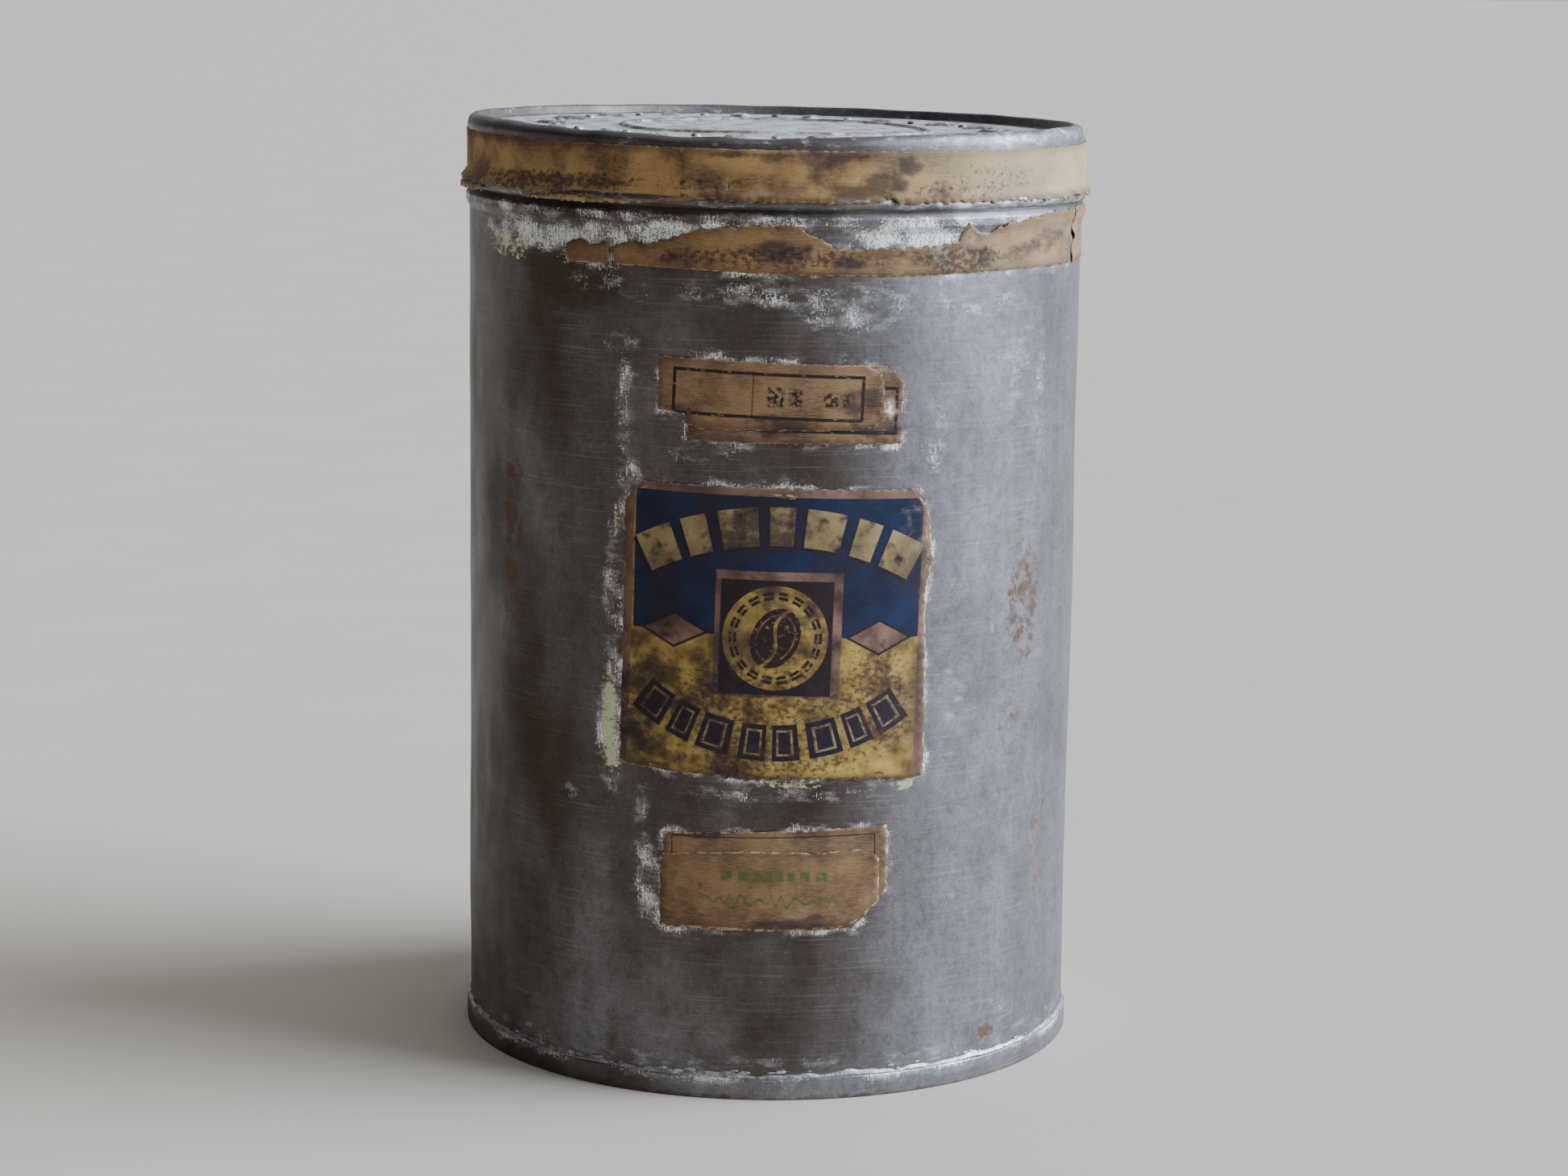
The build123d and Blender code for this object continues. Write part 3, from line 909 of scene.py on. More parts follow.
def line_of(tree, distance, width):
    """A line of that width along a shape's edge."""
    off = add(tree, MATH, distance, operation="ABSOLUTE")
    return inked(tree, add(tree, MATH, off, width / 2, operation="SUBTRACT"))


def diamond_distance(tree, place, centre, half):
    """Distance outside a diamond, below zero inside it."""
    far = from_centre(tree, place, centre)
    share = add(tree, VECTOR, far, (1 / half[0], 1 / half[1], 0), operation="DOT_PRODUCT").node.outputs[1]
    scale = half[0] * half[1] / math.hypot(*half)
    return mixed(tree, share, scale, -scale)


def round_place(tree, place, centre, radius, down=False):
    """Places along an arc and out from it: down arcs hang below their centre."""
    moved = add(tree, VECTOR, place, (*centre, 0), operation="SUBTRACT")
    moved = add(tree, VECTOR, moved, (1, -1 if down else 1, 0), operation="MULTIPLY")
    side, up, _ = add(tree, SPLIT, moved).node.outputs
    angle = add(tree, MATH, side, up, operation="ARCTAN2")
    far = add(tree, VECTOR, moved, operation="LENGTH").node.outputs[1]
    return product(tree, angle, radius), add(tree, MATH, far, radius, operation="SUBTRACT")


def blocks_distance(tree, along, out, pitch, half, ends, sway):
    """Distance to a row of blocks along an arc. Sway makes them wider and narrower in turn."""
    wave = add(tree, MATH, product(tree, along, 0.23), operation="SINE")
    warped = mixed(tree, wave, sway, along)
    shifted = add(tree, MATH, warped, ends, operation="ADD")
    near = add(tree, MATH, shifted, pitch / 2, operation="PINGPONG")
    side = add(tree, MATH, pitch / 2 - half[0], near, operation="SUBTRACT")
    for value, limit in ((out, half[1]), (warped, ends)):
        size = add(tree, MATH, value, operation="ABSOLUTE")
        beyond = add(tree, MATH, size, limit, operation="SUBTRACT")
        side = add(tree, MATH, side, beyond, operation="MAXIMUM")
    return side


def turned_place(tree, flat, centre, degrees):
    """Flat places measured from a centre and turned back by the print's lean."""
    moved = add(tree, VECTOR, flat, (*centre, 0), operation="SUBTRACT")
    moved = add(tree, VECTOR, moved, (1, 1, 0), operation="MULTIPLY")
    return add(tree, "ShaderNodeVectorRotate", {"Vector": moved, "Angle": math.radians(degrees)},
               rotation_type="Z_AXIS")


def bean_masks(tree, place, centre, worn):
    """A coffee bean: its body, the crease down its middle and a broken line of gloss inside its edge."""
    turned_in = turned_place(tree, place, centre, 24)
    size = add(tree, VECTOR, turned_in, (1 / 7.2, 1 / 9.6, 0), operation="MULTIPLY")
    far = add(tree, VECTOR, size, operation="LENGTH").node.outputs[1]
    edge = mixed(tree, far, 8.0, -8.0)
    side, up, _ = add(tree, SPLIT, turned_in).node.outputs
    swing = add(tree, MATH, product(tree, up, 0.34), operation="SINE")
    crease = line_of(tree, mixed(tree, swing, 1.7, side), 1.1)
    gloss = line_of(tree, add(tree, MATH, edge, 1.8, operation="ADD"), 0.5)
    gloss = product(tree, gloss, patches(tree, place, 5, 0.4, 0.55))
    body = inked(tree, edge)
    return product(tree, body, worn), product(tree, body, crease), gloss


def main_print(tree, flat, base, tones):
    """Navy over yellow: a framed coffee bean between two blank diamonds and two arcs of plain blocks."""
    place = turned_place(tree, flat, (2.0, 145.0), 1.7)
    middle = (-0.4, -0.4)
    rough_edge = mixed(tree, patches(tree, place, 1.1, 0.0, 1.0, detail=3), 0.5, -0.25)
    yellow = add(tree, MATH, box_distance(tree, place, middle, (45.1, 42.6)), rough_edge, operation="ADD")
    navy = inked(tree, box_distance(tree, place, (-0.1, 21.3), (44.8, 21.3)))
    left = diamond_distance(tree, place, (-31.4, 0.4), (10.2, 5.2))
    right = diamond_distance(tree, place, (31.7, 0.1), (10.2, 5.2))
    diamonds = add(tree, MATH, left, right, operation="MINIMUM")
    frame_box = box_distance(tree, place, (0.4, 0.6), (19.3, 19.3))
    inner_box = box_distance(tree, place, (-0.2, -0.4), (17.1, 17.6))
    disc = add(tree, VECTOR, place, (*middle, 0), operation="DISTANCE").node.outputs[1]
    disc = add(tree, MATH, disc, 16.0, operation="SUBTRACT")
    worn = patches(tree, place, (2.6, 2.0, 1), 0.34, 0.46, detail=5, rough=0.7)
    rubbed = patches(tree, place, (9, 1.4, 1), 0.3, 0.36, detail=5, rough=0.75)
    bean, crease, gloss = bean_masks(tree, place, middle, worn)
    along, out = round_place(tree, place, middle, 13.0)
    leaves = inked(tree, blocks_distance(tree, along, out, 13.0 * 2 * math.pi / 18, (1.55, 1.2), 41.0, 0.0))
    vein = line_of(tree, out, 0.35)
    rows = [round_place(tree, place, centre, 88.0) for centre in ((0.4, -54.3), (-0.5, -55.2))]
    upper, shade = (inked(tree, blocks_distance(tree, *row, 12.9, (4.6, 5.9), 45.15, 1.2)) for row in rows)
    upper = product(tree, upper, patches(tree, place, (5, 5, 1), 0.28, 0.5, detail=5, shift=4.0))
    along, out = round_place(tree, place, (-1.0, 35.2), 68.0, down=True)
    lower = blocks_distance(tree, along, out, 10.9, (4.3, 5.6), 43.6, 0.9)
    inline = line_of(tree, add(tree, MATH, lower, 1.9, operation="ADD"), 0.7)
    cloudy = patches(tree, place, 9, 0.35, 0.7, detail=6, shift=5.0)
    dirt = patches(tree, place, (22, 26, 1), 0.4, 0.66, detail=5, shift=1.3)
    ochre = layered(tree, tones.yellow, [(cloudy, 1, linear("#604627"))])
    deep = layered(tree, tones.navy, [(cloudy, 1, linear("#101b33"))])
    paper = layered(tree, tones.pink, [(cloudy, 1, tones.label_dark)])
    return layered(tree, base, [
        (0.55, 1, tones.pink),
        (product(tree, inked(tree, yellow), rubbed), 1, ochre),
        (navy, 1, deep),
        (inked(tree, diamonds), 1, paper),
        (line_of(tree, diamonds, 0.7), 1, tones.ink),
        (shade, 1, tones.ink),
        (upper, 1, tones.cream),
        (inked(tree, frame_box), 1, paper),
        (inked(tree, inner_box), 1, tones.ink),
        (inked(tree, disc), 1, ochre),
        (product(tree, leaves, worn, rubbed), 1, tones.ink),
        (product(tree, leaves, vein), 1, ochre),
        (bean, 1, linear("#2a1a12")),
        (crease, 1, ochre),
        (gloss, 1, linear("#8a6a4a")),
        (product(tree, inked(tree, lower), rubbed), 1, linear("#1c1b2a")),
        (product(tree, inline, worn), 1, tones.cream),
        (dirt, 0.7, tones.stain),
    ])


def worn_ink(tree, place, size, low, high):
    """Where the ink has held."""
    return patches(tree, place, (*size, 1), low, high, detail=5, rough=0.7)


def ruled_frame(tree, place, half, width, worn):
    """A ruled box, where the ink has held."""
    return product(tree, line_of(tree, box_distance(tree, place, (0.0, 0.0), half), width), worn)


def batch_print(tree, flat, base, tones):
    """A ruled frame in two parts, with four smudged stamps."""
    place = turned_place(tree, flat, (-1.4, 218.0), 2.2)
    worn = worn_ink(tree, place, (3.2, 1.2), 0.36, 0.44)
    outer = ruled_frame(tree, place, (28.6, 6.5), 1.0, worn)
    rule = product(tree, inked(tree, box_distance(tree, place, (-4.6, 0.0), (0.15, 6.5))), worn)
    stamps = box_distance(tree, place, (2.2, -0.2), (2.6, 3.0))
    for centre, half in (((8.3, -0.2), (1.9, 2.6)), ((19.2, -0.6), (2.6, 2.1)), ((23.6, -0.6), (1.0, 2.1))):
        stamps = add(tree, MATH, stamps, box_distance(tree, place, centre, half), operation="MINIMUM")
    blot = patches(tree, place, 1.5, 0.42, 0.58, detail=4)
    stamps = product(tree, inked(tree, stamps, 0.8), blot)
    return layered(tree, base, [(mask, 1, tones.ink) for mask in (outer, rule, stamps)])


def under_print(tree, flat, base, tones):
    """The older label's frame, of which one end shows."""
    place = turned_place(tree, flat, (4.0, 214.4), 2.0)
    worn = worn_ink(tree, place, (3.2, 1.2), 0.34, 0.42)
    return layered(tree, base, [(ruled_frame(tree, place, (34.0, 6.7), 1.1, worn), 1, tones.ink)])


def weight_under_print(tree, flat, base, tones):
    """A ruled line along the top of the older label."""
    place = turned_place(tree, flat, (2.0, 70.0), -0.8)
    worn = worn_ink(tree, place, (4, 1.2), 0.34, 0.42)
    return layered(tree, base, [(ruled_frame(tree, place, (31.5, 12.8), 0.35, worn), 1, tones.ink)])


def weight_print(tree, flat, base, tones):
    """Two rows of faded green marks: short bars above, a flowing line below."""
    place = turned_place(tree, flat, (2.0, 66.0), 1.0)
    side, up, _ = add(tree, SPLIT, place).node.outputs
    above = add(tree, MATH, up, 4.6, operation="SUBTRACT")
    bars = inked(tree, blocks_distance(tree, side, above, 4.1, (1.3, 1.5), 16.4, 1.1), 0.6)
    slow = add(tree, MATH, product(tree, side, 0.43), operation="SINE")
    wave = add(tree, MATH, mixed(tree, slow, 1.5, product(tree, side, 1.55)), operation="SINE")
    tall = mixed(tree, slow, 0.6, 1.2)
    below = add(tree, MATH, wave, tall, up, operation="MULTIPLY_ADD")
    flow = line_of(tree, add(tree, MATH, below, 3.3, operation="ADD"), 0.9)
    span = inked(tree, box_distance(tree, place, (0, -3.3), (21, 4)), 2.0)
    worn = worn_ink(tree, place, (3.2, 2.2), 0.34, 0.5)
    masks = (product(tree, bars, worn), product(tree, flow, span, worn))
    return layered(tree, base, [(mask, 1, tones.green) for mask in masks])


# Operators: one for each piece or group of like pieces


class COFFEETIN_OT_wall(bpy.types.Operator):
    """Builds the body: the wall with its neck bead, hem and base hook, and the lock seam inside it"""

    bl_idname = "coffeetin.wall"
    bl_label = "Wall"

    def execute(self, context):
        tin = Tin()
        points, faces = turned(sheet_section(tin.wall_line(), 2.0, 8.0, -tin.sheet), 300)
        round_, height = round_and_height(points)
        flat = np.stack([round_, height], 1)
        halo = np.zeros(len(points))
        haloed = [(label, 1.15, 2.2) for label in LABELS] + [(NECK_STRIP, 1.0, 2.0), (NECK_SCRAP, 1.2, 2.4)]
        for outline, strength, reach in haloed:
            far = from_outline(flat, [p[:2] for p in outline])
            halo = np.maximum(halo, strength * np.exp(-far / reach))
        turn = round_ / WALL
        halo = halo * (0.75 + ripples(turn, height, ((11, 31, 0.25), (29, 17, 0.25), (53, 11, 0.15)), 11))
        broken = ripples(turn, height, ((13, 23, 0.13), (31, 13, 0.12), (47, 41, 0.12), (71, 9, 0.1)), 12)
        # Bright tin round the papers, plus the listed spots, among them a painted highlight under the lid's
        # rolled edge.
        bright = np.maximum(halo, spot(round_, height, BRIGHT_AND_HIGHLIGHT_SPOTS)) * (0.92 + broken)
        # Grime and painted shade: darker towards the back, plus the spots below, whose large patch on the left
        # is painted shade on the side away from the window.
        grime_and_shade = np.maximum(spot(round_, height, GRIME_AND_SHADE_SPOTS), 0.4 * ease(points[:, 1], -20, 50))
        wear = np.stack([np.minimum(bright, 0.87), spot(round_, height, RUST_SPOTS), grime_and_shade], 1)
        glue = np.repeat(spot(round_, height, PASTE_SPOTS)[:, None], 3, 1)
        material = tinplate("Dulled tinplate wall")
        on = ("tin_body", "body_tinplate", "body_wall", material)
        new_piece("wall", points, faces, *on, wear=wear, paste_left=glue)
        left, right = BACK - 3.5, BACK + 3.5
        low, high = SEAM_HEIGHT + 1.3, tin.body_top - 6.4
        outline = [(left, low, 0), (right, low, 0), (right, high, 0), (left, high, 0)]
        folds = 3 * tin.sheet
        inner = WALL - tin.sheet - folds
        ridge = pasted(outline, lambda z: 0 * z + inner, 0.0, folds, 3.0, 5, lift=0.0)
        seam = paper_piece("lock_seam", [ridge], *on)
        soften(seam, "Folded edge")
        return {"FINISHED"}


def soften(piece, name):
    """Rounds a piece's edges a little."""
    bevel = piece.modifiers.new(name, "BEVEL")
    bevel.width, bevel.segments = 0.0003, 2


# Wear of the wall, with some painted highlight and painted shade among it: round, height, half width, half
# height, strength

# Bright tin with a painted highlight: the band all round at height 270 lightens the wall just under the lid's
# rolled edge, where the lid's shadow falls.
BRIGHT_AND_HIGHLIGHT_SPOTS = [
    (-46, 213, 5, 22, 0.72), (-45, 192, 7, 7, 0.72), (-51, 150, 4, 44, 0.66), (-51, 112, 7, 26, 0.8),
    (-40, 92, 4, 11, 0.65), (2, 96, 42, 4, 0.6), (-38, 68, 6, 17, 0.85), (-20, 200, 22, 5, 0.5),
    (2, 248, 62, 6, 0.62), (24, 243, 24, 9, 0.65), (-88, 262, 40, 7, 0.85), (-60, 263, 20, 6, 1.05),
    (-56, 250, 20, 5, 0.5), (-24, 265, 30, 6, 1.1), (40, 266, 24, 5, 1.15), (0, 270, 400, 2.5, 0.68),
    (84, 225, 12, 26, 0.45), (99, 215, 5, 30, 0.55), (76, 145, 1.5, 9, 0.6), (100, 28, 7, 1.3, 0.8),
    (80, 20, 22, 7, 0.4), (70, 245, 30, 6, 0.55), (-66, 92, 4, 5, 0.55), (-48, 232, 9, 4, 0.7),
    (52, 205, 8, 22, 0.5), (60, 120, 10, 22, 0.4), (0, 11, 400, 4, 0.45), (62, 60, 8, 20, 0.4),
    (-180, 200, 40, 6, 0.4), (200, 120, 12, 60, 0.45), (-230, 90, 14, 40, 0.4), (290, 160, 9, 100, 0.5),
]
RUST_SPOTS = [
    (-94, 168, 10, 50, 0.9), (-100, 60, 9, 40, 0.5), (92, 150, 15, 34, 0.95), (86, 112, 10, 20, 0.8),
    (77, 14, 6, 4, 1.25), (-50, 18, 5, 13, 0.85), (104, 70, 11, 36, 0.85), (58, 36, 14, 9, 0.6),
    (0, 9, 400, 3, 0.55), (-74, 132, 4, 12, 0.75), (-60, 36, 10, 8, 0.5), (66, 238, 6, 8, 0.5),
    (-200, 60, 26, 30, 0.6), (170, 190, 22, 30, 0.55), (308, 40, 16, 30, 0.7), (-308, 240, 14, 20, 0.6),
]
PASTE_SPOTS = [
    (-51, 118, 4.5, 22, 1.0), (-50, 104, 5, 5, 1.0), (-49, 178, 3, 9, 0.8), (-96, 258, 20, 7, 0.8),
    (-70, 257, 10, 5, 0.6), (6, 99.5, 22, 2.2, 0.8), (42, 98, 8, 3, 0.9), (-60, 230, 8, 4, 0.4),
]
# Grime with painted shade: the large patch on the left side is painted shade away from the window light, and
# the bands at heights 271 and 272 darken the wall just under the lid's rolled edge.
GRIME_AND_SHADE_SPOTS = [
    (-112, 150, 66, 190, 1.0), (-16, 140, 64, 260, 0.62), (-70, 250, 34, 13, 0.9), (-30, 30, 40, 22, 0.45),
    (-60, 180, 16, 50, 0.5), (0, 271, 400, 4, 0.35), (-90, 272, 60, 8, 0.8), (20, 36, 30, 14, 0.4),
    (-230, 120, 90, 160, 0.55), (230, 60, 60, 90, 0.5),
]


class COFFEETIN_OT_bottom(bpy.types.Operator):
    """Builds the bottom end with its double seam"""

    bl_idname = "coffeetin.bottom"
    bl_label = "Bottom end"

    def execute(self, context):
        tin = Tin()
        points, faces = turned(sheet_section(tin.bottom_line(), 3.0, 7.0, tin.sheet), 300)
        round_, height = round_and_height(points)
        outer = np.hypot(points[:, 0], points[:, 1]) > WALL + 0.3
        bright = np.where(outer, 0.75 * ease(height, 2.2, 5.2), 0.2)
        bright = bright * (0.85 + around(round_ / WALL, ((9, 0.2), (23, 0.2)), 13))
        rust = np.where(outer, 0.9 * (1 - ease(height, 0.4, 2.4)), 0.45)
        # The seam's outside darkens towards the left: painted shade on the side away from the window.
        grime_and_shade = np.where(outer, 0.7 * (1 - ease(points[:, 0], -70, 10)), 0.5)
        wear = np.stack([bright, rust, grime_and_shade], 1)
        material = tinplate("Dulled tinplate bottom end", rust_share=0.03)
        new_piece("bottom", points, faces, "tin_body", "base_tinplate", "bottom_end", material, wear=wear)
        return {"FINISHED"}


class COFFEETIN_OT_lid(bpy.types.Operator):
    """Builds the slip lid: rolled edge, skirt, dented rim, panel and raised ring"""

    bl_idname = "coffeetin.lid"
    bl_label = "Lid"

    def execute(self, context):
        tin = Tin()
        points, faces = turned(sheet_section(tin.lid_line(), 2.0, 6.0, -tin.sheet), 360)
        height = points[:, 2]
        reach = np.hypot(points[:, 0], points[:, 1])
        # 0 on the left to 1 on the right: it paints light from the window side onto the lid.
        right = ease(points[:, 0], -20, 85)
        crest = ease(height, 291, 294) * (reach > PANEL_REACH - 1) * (points[:, 1] < 20)
        curl = height < CURL_TOP
        top = height > PANEL_LOW
        panel = (reach < PANEL_REACH) & top
        # Nearness to the raised ring: the panel is painted darker along it, with less bright tin and more rust
        # colour.
        ring = np.exp(-np.abs(reach - tin.size.ring_radius * MM) / 1.2)
        # The rolled edge and the front of the crest are painted brighter towards the right: a painted highlight
        # from the window.
        bright = np.where(curl, 0.12 + 0.2 * right, 0.24 * crest * right)
        bright = np.where(panel, 0.58 - 0.45 * ring, bright)
        # The rolled edge takes more rust colour towards the left: partly rust, partly painted shade on the side
        # away from the window.
        rust = np.where(curl, 0.55 * (1 - right), 0.25) + 0.6 * ring * top
        rust = rust + 0.25 * np.exp(-np.abs(reach - PANEL_REACH + 1) / 2.0) * top
        # Grime rises towards the left on the skirt, crest and rolled edge: painted shade on the side away from
        # the window, over real dirt.
        grime_and_shade = np.where(panel, 0.1, np.where(height > CURL_TOP, 0.75, 0.6) * (1 - right))
        wear = np.stack([bright, rust, grime_and_shade], 1)
        material = tinplate("Dulled tinplate lid", tone=0.25, bright_size=(1.2, 1.2, 0.8), haze=0.75)
        on = ("lid", "lid_tinplate", "lid_shell", material)
        new_piece("lid_plate", dented_lid(points), faces, *on, wear=wear)
        return {"FINISHED"}


def grown_mesh(name, build, inputs):
    """Runs a Geometry Nodes tree and keeps its result as a plain mesh object."""
    tree = bpy.data.node_groups.new(name, "GeometryNodeTree")
    tree.interface.new_socket("Geometry", in_out="OUTPUT", socket_type="NodeSocketGeometry")
    for key, (kind, value) in inputs.items():
        socket = tree.interface.new_socket(key, in_out="INPUT", socket_type="NodeSocket" + kind)
        if kind != "Material":
            socket.default_value = value
    given = add(tree, "NodeGroupInput").node.outputs
    add(tree, "NodeGroupOutput", build(tree, given))
    start = linked(name + "_start", bpy.data.meshes.new(name + "_start"))
    modifier = start.modifiers.new(name, "NODES")
    modifier.node_group = tree
    names = {item.name: item.identifier for item in tree.interface.items_tree if item.in_out == "INPUT"}
    for key, (_, value) in inputs.items():
        modifier[names[key]] = value
    start.update_tag()
    bpy.context.view_layer.update()
    mesh = bpy.data.meshes.new_from_object(start.evaluated_get(bpy.context.evaluated_depsgraph_get()))
    bpy.data.objects.remove(start)
    mesh.name = name
    return linked(name, mesh)


def ring_of(tree, given, form, index, angle, sizes, seed, offset=None):
    """Copies of a form round a circle, each turned to its angle and a little different in size."""
    circle = add(tree, "GeometryNodeMeshCircle", {"Vertices": given["Count"], "Radius": given["Radius"]})
    arm = add(tree, JOIN, given["Radius"])
    spun = add(tree, "ShaderNodeVectorRotate", {"Vector": arm, "Angle": angle}, rotation_type="Z_AXIS")
    placed = add(tree, "GeometryNodeSetPosition", {"Geometry": circle, "Position": spun, "Offset": offset})
    vary = random_value(tree, index, sizes, seed)
    turn = add(tree, JOIN, {2: angle})
    copies = {"Points": placed, "Instance": form, "Rotation": turn, "Scale": vary}
    return add(tree, "GeometryNodeInstanceOnPoints", copies)


def random_value(tree, index, span, seed):
    """A number within a span for each index, from a fixed seed."""
    drawn = {2: span[0], 3: span[1], "ID": index, "Seed": seed}
    return add(tree, "FunctionNodeRandomValue", drawn).node.outputs[1]


def realized(tree, given, copies):
    """The copies as one mesh, at their place and with their material."""
    lifted = add(tree, "GeometryNodeTransform", {"Geometry": copies, "Translation": given["Place"]})
    plain = add(tree, "GeometryNodeRealizeInstances", lifted)
    return add(tree, "GeometryNodeSetMaterial", {"Geometry": plain, "Material": given["Material"]})


def ornament_tree(tree, given):
    """Lozenges and studs in turn round a circle, each a low pressed form."""
    joined = add(tree, "GeometryNodeJoinGeometry")
    for half_pitch, corners, across, along, seed in ((0.0, 4, 4.6, 8.2, 3), (0.5, 10, 2.0, 2.0, 4)):
        step = add(tree, MATH, 2 * math.pi, given["Count"], operation="DIVIDE")
        index = add(tree, "GeometryNodeInputIndex")
        angle = product(tree, add(tree, MATH, index, half_pitch, operation="ADD"), step)
        cone = {"Vertices": corners, "Side Segments": 2, "Radius Top": 0.55, "Radius Bottom": 1.0, "Depth": 1.0}
        cone = add(tree, "GeometryNodeMeshCone", cone, fill_type="NGON")
        size = add(tree, JOIN, along / MM, across / MM, given["Rise"])
        form = add(tree, "GeometryNodeTransform", {"Geometry": cone, "Scale": size})
        copies = ring_of(tree, given, form, index, angle, (0.92, 1.06), seed)
        tree.links.new(copies, joined.node.inputs[0])
    return realized(tree, given, joined)


def drop_tree(tree, given):
    """Flattened drops scattered along the base seam, some large and most small."""
    index = add(tree, "GeometryNodeInputIndex")
    angle = random_value(tree, index, (0.0, 2 * math.pi), 5)
    lift = add(tree, JOIN, {2: random_value(tree, index, (-0.0002, 0.0011), 6)})
    ball = add(tree, "GeometryNodeMeshIcoSphere", {"Radius": given["Size"], "Subdivisions": 2})
    form = add(tree, "GeometryNodeTransform", {"Geometry": ball, "Scale": (0.3, 2.4, 0.75)})
    return realized(tree, given, ring_of(tree, given, form, index, angle, (0.35, 1.3), 7, lift))


def reshape(mesh, change):
    """Moves a mesh's points by a function of millimetres, and returns where they are."""
    points = np.zeros(len(mesh.vertices) * 3, np.float32)
    mesh.vertices.foreach_get("co", points)
    points = change(points.reshape(-1, 3).astype(float) * MM)
    mesh.vertices.foreach_set("co", (points / MM).astype(np.float32).ravel())
    mesh.update()
    return points


class COFFEETIN_OT_ornaments(bpy.types.Operator):
    """Presses the ring of lozenges and studs into the lid's panel"""

    bl_idname = "coffeetin.ornaments"
    bl_label = "Lid ornaments"

    def execute(self, context):
        tin = Tin()
        piece = grown_mesh("lid_ornaments", ornament_tree, {
            "Count": ("Int", tin.size.ornaments), "Radius": ("Float", 0.071), "Rise": ("Float", 0.0013),
            "Place": ("Vector", (0.0, 0.0, tin.panel / MM - 0.0003)),
            "Material": ("Material", bpy.data.materials["Dulled tinplate lid"]),
        })
        height = reshape(piece.data, lambda points: settled(dented_lid(points)))[:, 2]
        top = ease(height - height.min(), 0.6, 1.6)
        store(piece.data, {"wear": np.stack([0.1 + 0.35 * top, 0.5 - 0.3 * top, 0.5 + 0 * top], 1)})
        soften(piece, "Pressed edge")
        dress(piece, "lid", "lid_tinplate", "lid_shell")
        return {"FINISHED"}


class COFFEETIN_OT_solder(bpy.types.Operator):
    """Runs solder along the base seam and down the back, with the drops it left"""

    bl_idname = "coffeetin.solder"
    bl_label = "Solder"

    def execute(self, context):
        tin = Tin()
        material = soft_solder("Wiped lead-tin solder")
        on_seam = ("tin_body", "solder", "bottom_seam_solder")
        low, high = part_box("bottom_seam_solder")
        base, tall, inner, reach = low.z * MM, high.z * MM, WALL + 0.03, high.x * MM
        section = [(inner, base), (reach, base), (reach - 0.25, base + 0.35), (inner + 0.35, base + 0.75),
                   (inner + 0.12, tall - 0.15), (inner, tall)]
        points, faces = turned(np.array(section), 360)
        turn = np.arctan2(points[:, 0], -points[:, 1])
        grow = 1 + around(turn, ((13, 0.25), (29, 0.22), (53, 0.2), (97, 0.12)), 21)
        points[:, 2] = base + (points[:, 2] - base) * np.maximum(grow, 0.3)
        new_piece("base_solder", points, faces, *on_seam, material)
        low, high = (corner.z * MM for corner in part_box("side_seam_solder"))
        left, right = BACK - 2.5, BACK + 2.5
        outline = [(left, low, 0.3), (right, low, 0.55), (right, high, 0.3), (left, high, 0.55)]
        thick = context.scene.tin_papers.solder * MM
        line = pasted(outline, tin.wall_bed, 0.03, thick, 1.6, 22, lift=0.05)
        paper_piece("side_solder", [line], "tin_body", "solder", "side_seam_solder", material)
        drops = grown_mesh("solder_drops", drop_tree, {
            "Count": ("Int", tin.size.solder_drops), "Radius": ("Float", (WALL + 0.1) / MM),
            "Size": ("Float", 0.0007), "Place": ("Vector", (0.0, 0.0, (base + 0.9) / MM)),
            "Material": ("Material", material),
        })
        reshape(drops.data, settled)
        dress(drops, *on_seam)
        return {"FINISHED"}


class COFFEETIN_OT_lid_strips(bpy.types.Operator):
    """Pastes the gummed strip round the lid's skirt, torn where the lid was first opened"""

    bl_idname = "coffeetin.lid_strips"
    bl_label = "Lid strips"

    def execute(self, context):
        tin = Tin()
        tones = context.scene.tin_colours
        kraft = aged_paper("Gummed kraft paper lid strip", tones.kraft, tones.kraft_dark,
                           mould=0.8, stain=0.62, fade=0.62, torn_edge=0.3)
        over = 2 * tin.paste + tin.paper
        lower = [pasted(LID_STRIP_LEFT, tin.lid_bed, tin.paste, tin.paper, 2.2, 31)]
        for k, shred in enumerate(CURL_SHREDS):
            flap = [(*shred[2][:2], 4.0, 0.8)]
            lower.append(pasted(shred, tin.lid_bed, over, tin.paper, 1.6, 40 + k, flap))
        flaps = [(34.5, 275.6, 4.0, 1.5), (57, 275.4, 3.0, 0.8), (118, 275.0, 6.0, 1.8),
                 (14, 275.4, 3.0, 0.6), (4, 275.4, 3.0, 0.5), (205, 275.2, 6.0, 1.4)]
        upper = [pasted(LID_STRIP_RIGHT, tin.lid_bed, over, tin.paper, 2.2, 32, flaps)]
        paper_piece("lid_strip_old", lower, "lid", "gummed_kraft_paper", "lid_strip_under", kraft)
        paper_piece("lid_strip_new", upper, "lid", "gummed_kraft_paper", "lid_strip_over", kraft)
        return {"FINISHED"}


